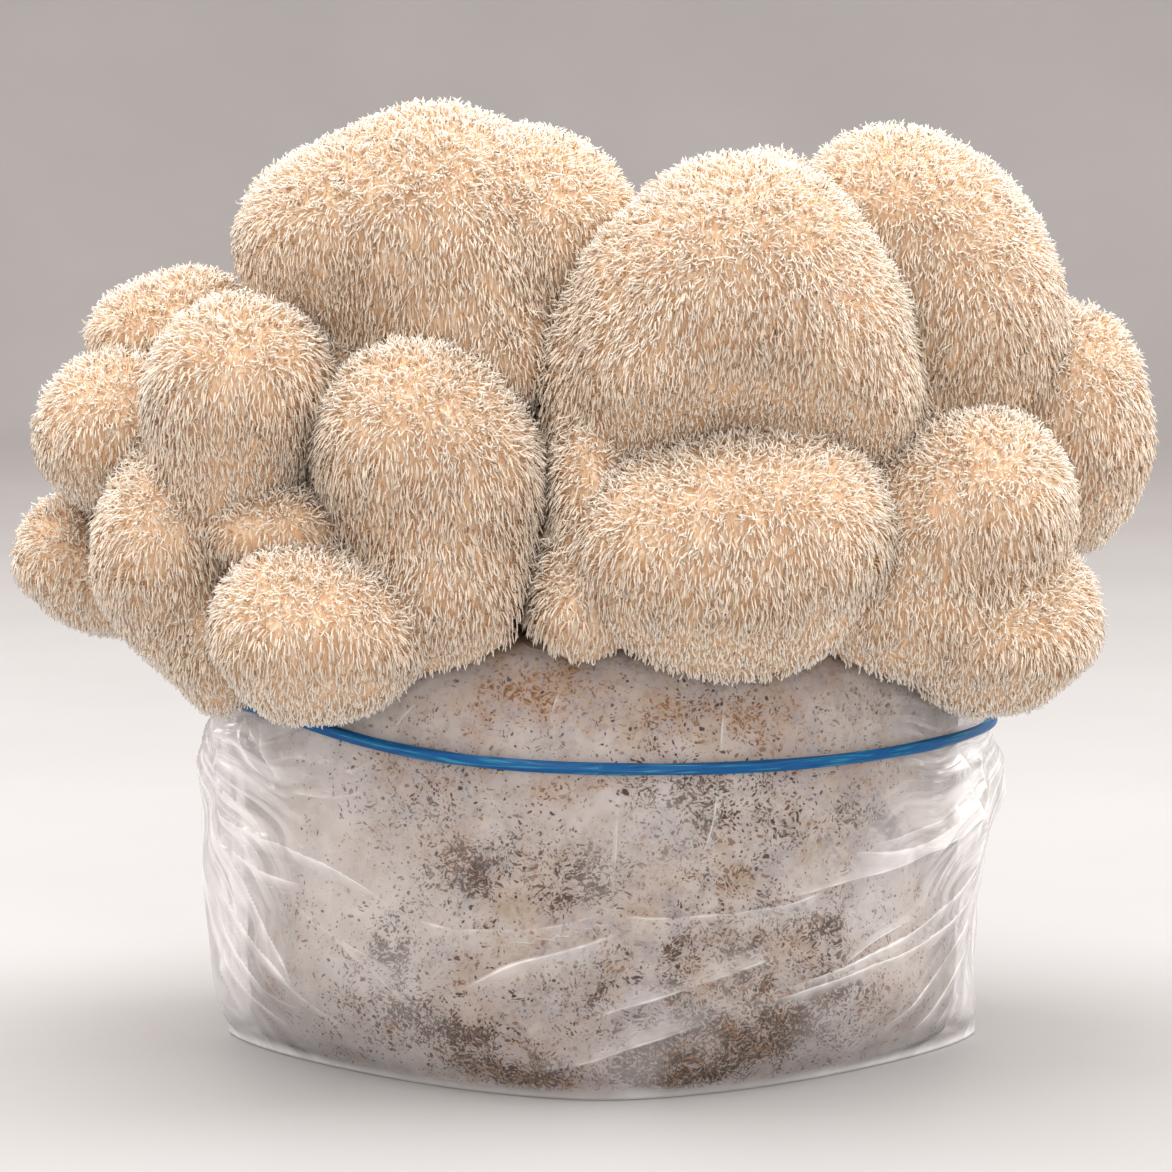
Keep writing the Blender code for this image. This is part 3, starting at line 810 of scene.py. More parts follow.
def rounded_line(corners):
    """The line with its corners cut twice, at a quarter and three quarters of every step."""
    line = np.array(corners) * MM
    for _ in range(2):
        near, far = 0.75 * line[:-1] + 0.25 * line[1:], 0.25 * line[:-1] + 0.75 * line[1:]
        line = np.concatenate([line[:1], np.stack([near, far], axis=1).reshape(-1, 2), line[-1:]])
    return line


def distance_to_line(across, height, corners):
    """Signed distance to a line through corners, positive above it, and how far along it the
    nearest place is, from 0 to 1.
    """
    line = rounded_line(corners)
    steps = np.diff(line, axis=0)
    lengths = np.linalg.norm(steps, axis=1)
    distance = np.full(across.shape, 1.0)
    along = np.zeros(across.shape)
    gone = 0.0
    for (x, z), (run_x, run_z), length in zip(line, steps, lengths):
        off_x, off_z = across - x, height - z
        share = np.clip((off_x * run_x + off_z * run_z) / length ** 2, 0.0, 1.0)
        size = np.hypot(off_x - share * run_x, off_z - share * run_z)
        signed = np.copysign(size, (off_z * run_x - off_x * run_z) * np.sign(run_x or 1.0))
        nearer = size < np.abs(distance)
        distance = np.where(nearer, signed, distance)
        along = np.where(nearer, gone + share * length, along)
        gone += length
    return distance, along / gone


def fold_relief(across, height, wobble):
    """How far the folds stand out, and for each set of folds the signed distance to the
    nearest one, in its half-widths, and its strength. Neighbours are in different sets.

    A fold rises by rise * exp(-d / width), where the width is narrower on its steep side, and
    fades towards both ends.
    """
    relief = np.zeros(across.shape)
    nearest = np.full((FOLD_SETS, *across.shape), FOLD_REACH)
    strength = np.zeros((FOLD_SETS, *across.shape))
    for number, (width, rise, *corners) in enumerate(FOLDS_MM):
        distance, along = distance_to_line(across, height, corners)
        distance = math.copysign(1.0, rise) * (distance + wobble) / (width * MM)
        fade = smooth_step(*FOLD_FADE_IN, along) * (1.0 - smooth_step(*FOLD_FADE_OUT, along))
        slope = np.where(distance > 0.0, *FOLD_SLOPES)
        relief = relief + FOLD_HEIGHT * fade * abs(rise) * MM * np.exp(-np.abs(distance) / slope)
        own = number % FOLD_SETS
        nearer = np.abs(distance) < np.abs(nearest[own])
        nearest[own] = np.where(nearer, distance, nearest[own])
        near = smooth_step(FOLD_REACH, FOLD_NEAR * FOLD_REACH, np.abs(distance))
        strong = fade * min(abs(rise) / FOLD_FULL_RISE, 1.0) * near
        strength[own] = np.where(nearer, strong, strength[own])
    return relief, nearest, strength


def pleat_flow(across, height):
    """Where a place lies in the fan of pleats at its side: its direction from the fan's centre
    in steps, its distance in pleat lengths, and how much it is pleated.
    """
    fan, run = np.zeros(across.shape), np.zeros(across.shape)
    for x, z in FAN_CENTRES_MM:
        aside, down = (x * MM - across) * np.sign(x), z * MM - height
        here = across * x >= 0.0
        fan = np.where(here, np.arctan2(aside, down) / FAN_STEP + math.copysign(FAN_APART, x), fan)
        run = np.where(here, np.hypot(aside, down), run)
    return fan, run / PLEAT_LENGTH, smooth_step(*FAN_START, run) * (1.0 - smooth_step(*FAN_END, run))


def side_stand_off(angle, height):
    """How far the loose film stands off at the two sides, so that it meets the side outlines."""
    block = BLOCK_HALF_WIDTH * shoulder_scale(height) + FILM_STAND_OFF
    outlines = [np.interp(height, np.array(side)[:, 0] * MM, np.array(side)[:, 1] * MM)
                for side in (LEFT_SIDE_MM, RIGHT_SIDE_MM)]
    outline = np.where(np.cos(angle) < 0.0, outlines[0], outlines[1])
    sideways = np.abs(np.cos(angle)) ** GUSSET_POWER
    return sideways * np.maximum(outline - block, 0.0)


def band_height(angle):
    """Height of the band's middle: with a = cos(angle) - low side, it rises by
    r = rise a^2 + steeper a^4, held under the most by r / (1 + (r / most)^6)^(1/6).
    """
    aside = np.cos(angle) - BAND_LOW_SIDE
    rise = BAND_RISE * aside ** 2 + BAND_STEEPER * aside ** 4
    return BAND_LOW + rise / (1.0 + (rise / BAND_MOST) ** 6) ** (1.0 / 6.0)


def build_film():
    """The film: level rings that stand off the block by the side outlines, the folds and the
    fan of pleats, drawn in at the band with small pleats beside it, and a flat bottom closed
    to a point.
    """
    angle, across, round_length = even_angles(FILM_COLUMNS, FRONT_CROWDING)
    height = np.concatenate([np.linspace(0.0, FILM_FOOT, FILM_FOOT_ROWS)[:-1],
                             np.linspace(FILM_FOOT, FILM_RIM, FILM_SIDE_ROWS)])
    shrink = np.linspace(0.0, 1.0, FILM_FLOOR_ROWS + 1)[1:-1]
    levels = np.concatenate([np.zeros(len(shrink)), height])
    inward = np.concatenate([shrink, np.ones(len(height))])
    angle_grid, level_grid = np.meshgrid(angle, levels)
    across_grid, _ = np.meshgrid(across, levels)
    base = level_points(angle_grid, level_grid, 0.0)
    wobble = FOLD_WOBBLE[0] * soft_noise(base, FOLD_WOBBLE[1], 21)
    back_grid = across_grid - np.copysign(0.5 * round_length, across_grid)
    front_grid = np.where(np.sin(angle_grid) > 0.0, back_grid, across_grid)
    relief, folds, strengths = fold_relief(front_grid, level_grid, wobble)
    fan, run, pleated = pleat_flow(across_grid, level_grid)
    fan = fan + FAN_WANDER * soft_noise(base, FAN_WANDER_SIZE, 27)
    flow = np.stack([fan, run, 0.0 * fan], axis=-1)
    pleat = PLEAT_RISE * pleated * np.maximum(soft_noise(flow, 1.0, 26), PLEAT_LEAST)
    off_band = np.abs(level_grid - band_height(angle_grid))
    gathers = np.exp(-off_band / GATHER_REACH) * smooth_step(*GATHER_START, off_band)
    sway = GATHER_SWAY[0] * soft_noise(base, GATHER_SWAY[1], 22)
    waves = np.sin(GATHER_COUNT * angle_grid + sway)
    gathers = gathers * GATHER_DEPTH * (0.5 + 0.5 * waves)
    slack = sum(depth * soft_noise(base, width, 23 + number)
                for number, (depth, width) in enumerate(SLACK))
    loose = side_stand_off(angle_grid, level_grid)
    off_share = HELD_SHARE + (1.0 - HELD_SHARE) * smooth_step(*BAND_FREE, off_band)
    free = smooth_step(*FLOOR_FREE, level_grid) * off_share
    billow = loose * BILLOW[0] * soft_noise(base * (1.0, 1.0, 0.6), BILLOW[1], 25)
    uneven = relief + pleat + np.maximum(slack, SLACK_LEAST) + billow
    grow = FILM_STAND_OFF + loose + free * uneven + gathers
    points = level_points(angle_grid, level_grid, np.maximum(grow, FILM_LEAST))
    points[..., :2] *= inward[:, None, None]
    rows, columns = points.shape[:2]
    mesh = make_mesh("film", np.concatenate([points.reshape(-1, 3), [(0.0, 0.0, 0.0)]]),
                     ring_faces(rows, columns), pole_faces(0, columns, rows * columns, False))
    for number in range(FOLD_SETS):
        set_values(mesh, f"fold_{number}", np.append(folds[number], NO_FOLD))
        set_values(mesh, f"fold_strength_{number}", np.append(strengths[number] * free, 0.0))
    # Where the painted glints show: bells round the crumpled places.
    crumpled_painted_glints = np.zeros(front_grid.shape)
    for x, z, half_width, half_height in CRUMPLES_MM:
        bell = ((front_grid - x * MM) / (half_width * MM)) ** 2
        bell += ((level_grid - z * MM) / (half_height * MM)) ** 2
        crumpled_painted_glints = np.maximum(crumpled_painted_glints, np.exp(-bell))
    edge = 1.0 - smooth_step(*EDGE_FADE, level_grid)
    sides = smooth_step(*END_FADE, np.abs(np.cos(angle_grid)))
    hanging = np.maximum(np.clip(loose / LOOSE_FULL, 0.0, 1.0), sides)
    for name, values in (("fan", fan), ("run", run), ("pleated", pleated), ("crumpled_painted_glints", crumpled_painted_glints),
                         ("edge", edge), ("loose", hanging)):
        set_values(mesh, name, np.append(values.ravel(), 0.0))
    add_piece("grow_bag_film", mesh, film_material(), "film", "grow_bag")


def fold_cover(tree, fold, strength, uneven):
    """Cover of a fold from the signed distance to its crest, in half-widths: a painted highlight,
    a white line on the crest, narrower and brighter as the uneven number rises, and milky film
    where the distance is below 0.
    """
    # Painted highlight: a white line on the fold's crest, put in as opaque white film.
    narrow = calculate(tree, "ADD", times(tree, uneven, -3.0), 6.5)
    crest = times(tree, calculate(tree, "ABSOLUTE", fold), narrow)
    crest = calculate(tree, "SUBTRACT", 1.0, crest, clamp=True)
    crest = times(tree, crest, times(tree, uneven, 0.75))
    milky = calculate(tree, "ADD", times(tree, fold, 0.42), 1.0, clamp=True)
    milky = times(tree, milky, calculate(tree, "LESS_THAN", fold, 0.0))
    milky = times(tree, milky, calculate(tree, "ADD", times(tree, uneven, 0.3), 0.25))
    return times(tree, calculate(tree, "ADD", crest, milky), strength)


def film_material():
    """Clear film: milky beside its folds and where it hangs loose, in streaks that follow the
    fan of pleats, with painted highlights: white lines on the crests and along the pleats, and
    white glints on fine crinkles in places.
    """
    material, tree, shader = new_material("clear_film")
    place = object_place(tree)
    fan, run, pleated = (read_value(tree, name) for name in ("fan", "run", "pleated"))
    loose, crumpled_painted_glints, edge = (read_value(tree, name) for name in ("loose", "crumpled_painted_glints", "edge"))
    flow = add(tree, "CombineXYZ", X=fan, Y=run).outputs["Vector"]
    cloud = place_group(tree, SOFT_PATCHES, place, Scale=24.0, Low=0.48, High=0.66)
    haze = place_group(tree, SOFT_PATCHES, place, Scale=45.0, Low=0.44, High=0.70)
    fine_haze = place_group(tree, SOFT_PATCHES, place, Scale=130.0, Low=0.45, High=0.72)
    streaks = place_group(tree, SOFT_PATCHES, flow, Scale=1.3, Low=0.40, High=0.62)
    # Painted highlights: thin white lines along the pleats where the flow noise crosses one half; they
    # also raise the bump.
    thread_highlights = noise_at(tree, flow, Scale=2.2, Detail=1.5)
    thread_highlights = calculate(tree, "ABSOLUTE", calculate(tree, "SUBTRACT", thread_highlights, 0.5))
    thread_highlights = calculate(tree, "SUBTRACT", 1.0, times(tree, thread_highlights, 24.0), clamp=True)
    thread_highlights = times(tree, thread_highlights, fine_haze)
    crinkle = noise_at(tree, place, noise_type="RIDGED_MULTIFRACTAL", Scale=85.0, Detail=3.0,
                       Roughness=0.5, Distortion=0.6)
    # Painted highlights: white glints where the ridged crinkle noise peaks, strongest in crumpled places;
    # the crinkle also raises a real bump.
    painted_glints = times(tree, calculate(tree, "SUBTRACT", crinkle, 1.2), 2.2, clamp=True)
    painted_glints = times(tree, painted_glints, calculate(tree, "ADD", times(tree, haze, 0.3), crumpled_painted_glints))
    pleat_thread_highlights = times(tree, thread_highlights, pleated)
    parts = [(cloud, 0.13), (haze, 0.06), (fine_haze, 0.04), (painted_glints, 0.7),
             (times(tree, pleated, streaks), 0.24), (pleat_thread_highlights, 0.45),
             (times(tree, loose, streaks), 0.25), (loose, 0.38), (edge, 0.42)]
    uneven = noise_at(tree, place, Scale=95.0, Detail=2.0)
    uneven = times(tree, calculate(tree, "SUBTRACT", uneven, 0.36), 3.2, clamp=True)
    for number in range(FOLD_SETS):
        strength = read_value(tree, f"fold_strength_{number}")
        parts.append((fold_cover(tree, read_value(tree, f"fold_{number}"), strength, uneven), 1.0))
    alpha = 0.03
    for part, share in parts:
        alpha = calculate(tree, "ADD", alpha, times(tree, part, share))
    feed(shader.inputs["Alpha"], calculate(tree, "MINIMUM", alpha, 0.94))
    colour = mix_colour(tree, haze, (0.89, 0.875, 0.875), (0.83, 0.82, 0.84))
    feed(shader.inputs["Roughness"], 0.16)
    feed(shader.inputs["IOR"], 1.55)
    raised = calculate(tree, "ADD", times(tree, crinkle, 0.6), times(tree, pleat_thread_highlights, 0.8))
    set_surface(tree, shader, colour, raised, 0.5, 0.8 * MM)
    return material


# Band

BAND_STATIONS = 480
BAND_SIDES = 20
BAND_POWER = 4.5
# Slow turn of the band about its own line: two waves, each of size, count round it and start
BAND_TURNS = ((0.55, 7.0, 0.8), (0.35, 3.0, 0.0))


def build_band():
    """The band: a rounded bar's outline carried round the film on the band's height, turned
    to and fro by two slow waves. The outline is |u|^p + |v|^p = 1.
    """
    angle, _, _ = even_angles(BAND_STATIONS)
    height = band_height(angle)
    grow = FILM_STAND_OFF + BAND_OFF_FILM + side_stand_off(angle, height)
    middle = level_points(angle, height, grow)
    outward = unit(level_points(angle, height, grow + 1 * MM) - middle)
    forward = unit(np.roll(middle, -1, axis=0) - np.roll(middle, 1, axis=0))
    upward = unit(np.cross(outward, forward))
    turn = sum(size * np.sin(count * angle + start) for size, count, start in BAND_TURNS)
    around = 2.0 * math.pi * np.arange(BAND_SIDES) / BAND_SIDES
    side, rise = (half * np.sign(wave) * np.abs(wave) ** (2.0 / BAND_POWER)
                  for wave, half in ((np.cos(around), BAND_HALF_THICKNESS),
                                     (np.sin(around), BAND_HALF_HEIGHT)))
    cosine, sine = np.cos(turn)[:, None], np.sin(turn)[:, None]
    out = (side * cosine - rise * sine)[..., None] * outward[:, None, :]
    up = (side * sine + rise * cosine)[..., None] * upward[:, None, :]
    points = middle[:, None, :] + out + up
    station, corner = np.meshgrid(np.arange(BAND_STATIONS), np.arange(BAND_SIDES), indexing="ij")
    next_station, next_corner = (station + 1) % BAND_STATIONS, (corner + 1) % BAND_SIDES
    faces = np.stack([station * BAND_SIDES + corner, next_station * BAND_SIDES + corner,
                      next_station * BAND_SIDES + next_corner, station * BAND_SIDES + next_corner],
                     axis=-1).reshape(-1, 4)
    mesh = make_mesh("band", points.reshape(-1, 3), faces)
    set_values(mesh, "round_bag", (angle[:, None] + 0.0 * around).ravel())
    set_values(mesh, "round_bar", (np.sin(around + turn[:, None])).ravel())
    add_piece("blue_elastic_band", mesh, band_material(), "band", "elastic_band")


def band_material():
    """Blue rubber with lighter and darker streaks along it, painted highlight and painted shade
    that follow the twist of the bar, and a fine grain.
    """
    material, tree, shader = new_material("blue_rubber")
    place = object_place(tree)
    along = add(tree, "CombineXYZ", X=times(tree, read_value(tree, "round_bag"), 5.0),
                Y=times(tree, read_value(tree, "round_bar"), 2.6)).outputs["Vector"]
    # Painted highlight and painted shade: lighter and darker streaks that follow how the twisted bar's
    # faces turn.
    light = place_group(tree, SOFT_PATCHES, along, Scale=1.0, Low=0.50, High=0.66)
    dark = place_group(tree, SOFT_PATCHES, along, Scale=1.7, Low=0.54, High=0.66)
    colour = mix_colour(tree, light, (0.002, 0.088, 0.27), (0.03, 0.25, 0.40))
    colour = mix_colour(tree, times(tree, dark, 0.6), colour, (0.002, 0.04, 0.13))
    feed(shader.inputs["Roughness"], 0.5)
    feed(shader.inputs["Specular IOR Level"], 0.25)
    grain = place_group(tree, FINE_GRAIN, place, Scale=1500.0, Rough=0.6)
    set_surface(tree, shader, colour, grain, 0.3, 0.2 * MM)
    return material


# Fruit bodies

def crease_x(depth, height):
    """Where the two bodies meet, at places from front to back and heights."""
    upright = CREASE_X + CREASE_SLOPE * (height - CREASE_HEIGHT)
    turn = CREASE_TURN * np.tanh((depth - CREASE_FRONT) / CREASE_TURN_LENGTH)
    return upright + turn * smooth_step(*CREASE_TURN_RISE, height)


def reach(x, y, margin):
    """How far out a place is: 1 on the block's full outline grown by a margin."""
    part_x = (np.abs(x) / (BLOCK_HALF_WIDTH + margin)) ** TOP_POWER
    part_y = (np.abs(y) / (BLOCK_HALF_DEPTH + margin)) ** TOP_POWER
    return (part_x + part_y) ** (1.0 / TOP_POWER)


def seat_height(x, y):
    """Lowest height that a body may reach above a place: the block's top, its rounded
    shoulder, a ledge that clears the band all round, and nothing past that.
    """
    out = reach(x, y, SEAT_MARGIN)
    band = band_height(np.arctan2(y / BLOCK_HALF_DEPTH, x / BLOCK_HALF_WIDTH))
    ledge = np.maximum(LEDGE_LOW, band + BAND_HALF_HEIGHT + BAND_CLEARANCE)
    ledge = np.where(reach(x, y, LEDGE_MARGIN) < 1.0, ledge, 0.0)
    drop = np.clip((out - TOP_SCALE) / (1.0 - TOP_SCALE), 0.0, 1.0)
    shoulder = BLOCK_SHOULDER + SEAT_LIFT + (1.0 - drop ** 2) ** (1.0 / ROUND_POWER) * SHOULDER_SPAN
    shoulder = np.maximum(np.minimum(shoulder, BLOCK_TOP + SEAT_GAP), ledge)
    return np.where(out >= 1.0, ledge, shoulder)


def keep_seated(points, side):
    """Points lifted off the block and kept on their own side of the crease."""
    points = points.copy()
    points[:, 2] = np.maximum(points[:, 2], seat_height(points[:, 0], points[:, 1]))
    wall = crease_x(points[:, 1], points[:, 2]) + side * BODY_GAP
    points[:, 0] = side * np.maximum(side * points[:, 0], side * wall)
    return points


def body_distance(points, masses):
    """About how far outside the flesh each point is.

    For one lobe, with q = (point - centre) / half-size, the distance is |q| (|q| - 1) divided
    by |q / half-size|. Two distances run together as their minimum less h^2 k / 4, where k is
    the softness and h = max(k - |difference|, 0) / k, first in each mass and then over all:
    once sharply, and once broadly and deeper, which fills the bottoms of the creases.
    """
    sharp = np.full(len(points), 1.0)
    broad = np.full(len(points), 1.0)
    for softness, *lobes in masses.values():
        mass = np.full(len(points), 1.0)
        for centre, half_size in lobes:
            half = np.array(half_size) * MM - SPINE_DEPTH
            scaled = (points - np.array(centre) * MM) / half
            size = np.linalg.norm(scaled, axis=1)
            distance = size * (size - 1.0) / np.maximum(np.linalg.norm(scaled / half, axis=1), 1e-6)
            mass = run_together(mass, distance, softness * MM)
        sharp = run_together(sharp, mass, CREASE_SOFTNESS)
        broad = run_together(broad, mass, VALLEY_SOFTNESS)
    return run_together(sharp, broad + VALLEY_DEPTH, CREASE_SOFTNESS)


def run_together(first, second, softness):
    """The smaller of two distances, with the corner between them rounded."""
    overlap = np.maximum(softness - np.abs(first - second), 0.0) / softness
    return np.minimum(first, second) - overlap ** 2 * softness / 4.0


def outward_of(points, masses):
    """The direction in which the distance grows fastest, from differences along each axis."""
    here = body_distance(points, masses)
    steps = [body_distance(points + GRADIENT_STEP * axis, masses) - here for axis in np.eye(3)]
    return unit(np.stack(steps, axis=-1)), here


def fit_to_body(points, masses):
    """Points moved onto the flesh: each pass moves them by their distance along its slope."""
    for _ in range(FIT_PASSES):
        outward, distance = outward_of(points, masses)
        points = points - outward * distance[:, None]
    return points


def lobes_of(masses):
    """Every lobe of a body: centres and half-sizes of the flesh."""
    lobes = np.array([lobe for _, *mass in masses.values() for lobe in mass], float) * MM
    return lobes[:, 0], lobes[:, 1] - SPINE_DEPTH


def ball_grid():
    """Unit ball: x = sin t cos u, y = sin t sin u, z = -cos t, with one point at each pole."""
    t = math.pi * np.arange(1, LOBE_ROWS) / LOBE_ROWS
    u = 2.0 * math.pi * np.arange(LOBE_COLUMNS) / LOBE_COLUMNS
    rows = np.stack([np.sin(t)[:, None] * np.cos(u), np.sin(t)[:, None] * np.sin(u),
                     -np.cos(t)[:, None] + 0.0 * u], axis=-1)
    points = np.concatenate([rows.reshape(-1, 3), [(0.0, 0.0, -1.0), (0.0, 0.0, 1.0)]])
    count = len(t) * LOBE_COLUMNS
    quads = ring_faces(len(t), LOBE_COLUMNS)
    fans = np.concatenate([pole_faces(0, LOBE_COLUMNS, count, False),
                           pole_faces(len(t) - 1, LOBE_COLUMNS, count + 1, True)])
    return points, quads, fans


def wave(places):
    """Unevenness of the lobes: a broad noise and a finer one."""
    return sum(depth * soft_noise(places, size, 31) for depth, size in WAVES)


def build_flesh(name, node, masses, side, material):
    """The flesh: every lobe is a ball grid stretched to its half-sizes. A remesh joins them
    into one skin, which is moved onto the body's distance field and seated on the block.
    Returns the corners of the skin's quads before they are seated.
    """
    ball, quads, fans = ball_grid()
    centres, half_sizes = lobes_of(masses)
    points = centres[:, None, :] + ball[None, :, :] * half_sizes[:, None, :]
    starts = len(ball) * np.arange(len(centres))[:, None, None]
    mesh = make_mesh(name, points.reshape(-1, 3), (starts + quads).reshape(-1, 4),
                     (starts + fans).reshape(-1, 3))
    shell = new_object(name, mesh)
    joined = shell.modifiers.new("joined", "REMESH")
    joined.mode = "VOXEL"
    joined.voxel_size = SKIN_CELL
    rounded = shell.modifiers.new("rounded", "SMOOTH")
    rounded.factor = 0.5
    rounded.iterations = SKIN_SMOOTH_PASSES
    evaluated = shell.evaluated_get(bpy.context.evaluated_depsgraph_get())
    skin = bpy.data.meshes.new_from_object(evaluated)
    bpy.data.objects.remove(shell, do_unlink=True)
    places = np.empty(len(skin.vertices) * 3, np.float32)
    skin.vertices.foreach_get("co", places)
    places = fit_to_body(places.reshape(-1, 3).astype(float), masses)
    outward, _ = outward_of(places, masses)
    seated = keep_seated(places + outward * wave(places)[:, None], side)
    skin.vertices.foreach_set("co", seated.astype(np.float32).ravel())
    skin.update()
    skin.shade_smooth()
    add_piece(name, skin, material, "spines", node)
    corners = np.empty(len(skin.loops), np.int32)
    skin.loops.foreach_get("vertex_index", corners)
    return places[corners.reshape(-1, 4)]


def flesh_material():
    """Tan flesh with short hanging strokes of cream: noise drawn out downwards."""
    material, tree, shader = new_material("tan_flesh")
    place = object_place(tree)
    hang = add(tree, "Mapping", Vector=place, Scale=(1.0, 1.0, 0.2)).outputs["Vector"]
    strokes = noise_at(tree, hang, Scale=1100.0, Detail=1.5, Distortion=0.5)
    patches = place_group(tree, SOFT_PATCHES, place, Scale=60.0, Low=0.4, High=0.6)
    colour = mix_colour(tree, patches, (0.78, 0.535, 0.345), (0.70, 0.455, 0.275))
    raised = times(tree, calculate(tree, "SUBTRACT", strokes, 0.42), 5.0, clamp=True)
    colour = mix_colour(tree, times(tree, raised, 0.9), colour, (0.95, 0.81, 0.63))
    feed(shader.inputs["Roughness"], 0.8)
    set_surface(tree, shader, colour, raised, 0.8, 0.5 * MM)
    return material


def spine_roots(quads, masses, side, rng):
    """Roots and normals of a body's spines.

    Every quad of the skin is cut into even strata with one shaken point in each, of which the
    share area / (strata * spacing^2) is kept. Those in the block or past the crease are dropped.
    """
    facing = np.cross(quads[:, 2] - quads[:, 0], quads[:, 3] - quads[:, 1])
    area = 0.5 * np.linalg.norm(facing, axis=1)
    cells = np.stack(np.meshgrid(np.arange(ROOT_STRATA), np.arange(ROOT_STRATA)), axis=-1)
    cells = cells.reshape(1, -1, 2)
    shaken = (cells + rng.uniform(size=(len(quads), cells.shape[1], 2))) / ROOT_STRATA
    u, v = np.moveaxis(shaken, -1, 0)[..., None]
    near, beside, across, last = np.moveaxis(quads[:, None], 2, 0)
    roots = (1.0 - v) * ((1.0 - u) * near + u * beside) + v * (u * across + (1.0 - u) * last)
    behind = behind_share(unit(facing))
    spacing = FRONT_SPACING + (BACK_SPACING - FRONT_SPACING) * behind
    share = area / (cells.shape[1] * spacing ** 2)
    roots = roots[rng.uniform(size=roots.shape[:2]) < share[:, None]]
    normals, distance = outward_of(roots, masses)
    roots = roots - normals * distance[:, None]
    keep = roots[:, 2] > seat_height(roots[:, 0], roots[:, 1]) + ROOT_CLEARANCE
    keep &= side * (roots[:, 0] - crease_x(roots[:, 1], roots[:, 2])) > CREASE_CLEARANCE
    return roots[keep], normals[keep]


def behind_share(normals):
    """0 where the surface faces the front or a side, 1 where it faces the back."""
    return smooth_step(*BEHIND, normals[:, 1])


def swirl(places, seed):
    """A smooth random vector at each place, alike within a few millimetres."""
    return np.stack([soft_noise(places, CURL_SIZE, seed + axis) for axis in range(3)], axis=-1)


# Where effects set in and are full, by how much the normal points back or up
BEHIND = (-0.05, 0.35)
CURLING = (0.1, 0.7)
LONGER = (0.7, -0.1)
# Range of the painted warm shade on the sides and underneath
SIDE_PAINTED_SHADE = (0.8, -0.2)
UNDER_STANDING = (-0.4, -0.9)
UNDER_SHORTENING = (-0.05, -0.65)
# Range of the painted light that pales the undersides
UNDER_PAINTED_LIGHT_RANGE = (-0.15, -0.7)

# Shares of each direction in a spine's parts. In a pair the second is added where spines curl.
FIRST_HANG = 0.6
FIRST_STRAY = (0.28, 0.32)
FIRST_SWIRL = 0.3
LAST_STAND = (0.32, 0.36)
LAST_HANG = (1.2, -0.6)
LAST_STRAY = (0.27, 0.4)
LAST_SWIRL = (0.32, 0.4)
HOOK_STRAY = (0.5, 0.4)
UNDER_STAND = 0.40
UNDER_SHORTER = 0.55
# How much painted light pales the undersides; the share of the colour number that is random comes next
UNDER_PAINTED_LIGHT = 0.5
OWN_TONE = 0.35


def by_curl(pair, curl):
    """A share and what is added to it where spines curl, as a column."""
    return (pair[0] + pair[1] * curl)[:, None]


def spine_lines(roots, normals, rng):
    """Centre lines of the spines: the directions of their three parts, from the root to the
    tip, their length, and a number for their colour that is partly random and partly painted
    shade: darker and warmer on the sides, and paler underneath as painted light.

    They stand up and curl where the surface faces up, and are drawn down along it elsewhere
    by the share of the downward direction that lies in the surface.
    """
    upness = normals[:, 2]
    curl = smooth_step(*CURLING, upness)
    hang = along_surface(np.array([0.0, 0.0, -1.0]), normals)
    own = along_surface(rng.normal(size=roots.shape), normals)
    shaken = along_surface(swirl(roots, 41), normals)
    first = unit(normals + FIRST_HANG * hang + by_curl(FIRST_STRAY, curl) * own + FIRST_SWIRL * shaken)
    stand = by_curl(LAST_STAND, curl) + UNDER_STAND * smooth_step(*UNDER_STANDING, upness)[:, None]
    last = unit(stand * normals + by_curl(LAST_HANG, curl) * hang
                + by_curl(LAST_STRAY, curl) * own + by_curl(LAST_SWIRL, curl) * shaken)
    stray = along_surface(rng.normal(size=roots.shape), normals)
    hook = unit(last + by_curl(HOOK_STRAY, curl) * stray)
    length = SPINE_SHORT + (SPINE_LONG - SPINE_SHORT) * smooth_step(*LONGER, upness)
    length = length * (1.0 - UNDER_SHORTER * smooth_step(*UNDER_SHORTENING, upness))
    # Random colour, plus painted warm shade on the sides and underneath, less painted light underneath
    tone_and_shade = OWN_TONE * rng.uniform(size=len(roots)) + (1.0 - OWN_TONE) * smooth_step(*SIDE_PAINTED_SHADE, upness)
    tone_and_shade = tone_and_shade - UNDER_PAINTED_LIGHT * smooth_step(*UNDER_PAINTED_LIGHT_RANGE, upness)
    return first, last, hook, length * rng.uniform(*LENGTH_RANGE, len(roots)), tone_and_shade


def ring_round(middles, directions, radius, turn):
    """Three points round each middle, square to its direction."""
    helper = np.where(np.abs(directions[:, 2:3]) < 0.8, (0.0, 0.0, 1.0), (1.0, 0.0, 0.0))
    across = unit(np.cross(directions, helper))
    other = np.cross(directions, across)
    corners = turn[:, None, None] + 2.0 * math.pi * np.arange(3)[:, None] / 3.0
    out = np.cos(corners) * across[:, None, :] + np.sin(corners) * other[:, None, :]
    return middles[:, None, :] + radius[:, None, None] * out


# Where a spine bends, as shares of its length, how thin it is at the second bend, and for
# spines of one and of two rings their faces and how far along each point is
KNEE = 0.38
BEND = 0.78
BEND_THINNER = 0.9
SHORT_FACES = np.array([(0, 2, 1), (0, 3, 2), (0, 1, 3), (1, 2, 4), (2, 3, 4), (3, 1, 4)])
LONG_FACES = np.array([(0, 2, 1), (0, 3, 2), (0, 1, 3),
                       (1, 2, 5), (1, 5, 4), (2, 3, 6), (2, 6, 5), (3, 1, 4), (3, 4, 6),
                       (4, 5, 7), (5, 6, 7), (6, 4, 7)])
SHORT_ALONG = (0.0, 0.5, 0.5, 0.5, 1.0)
LONG_ALONG = (0.0, 0.5, 0.5, 0.5, 0.85, 0.85, 0.85, 1.0)


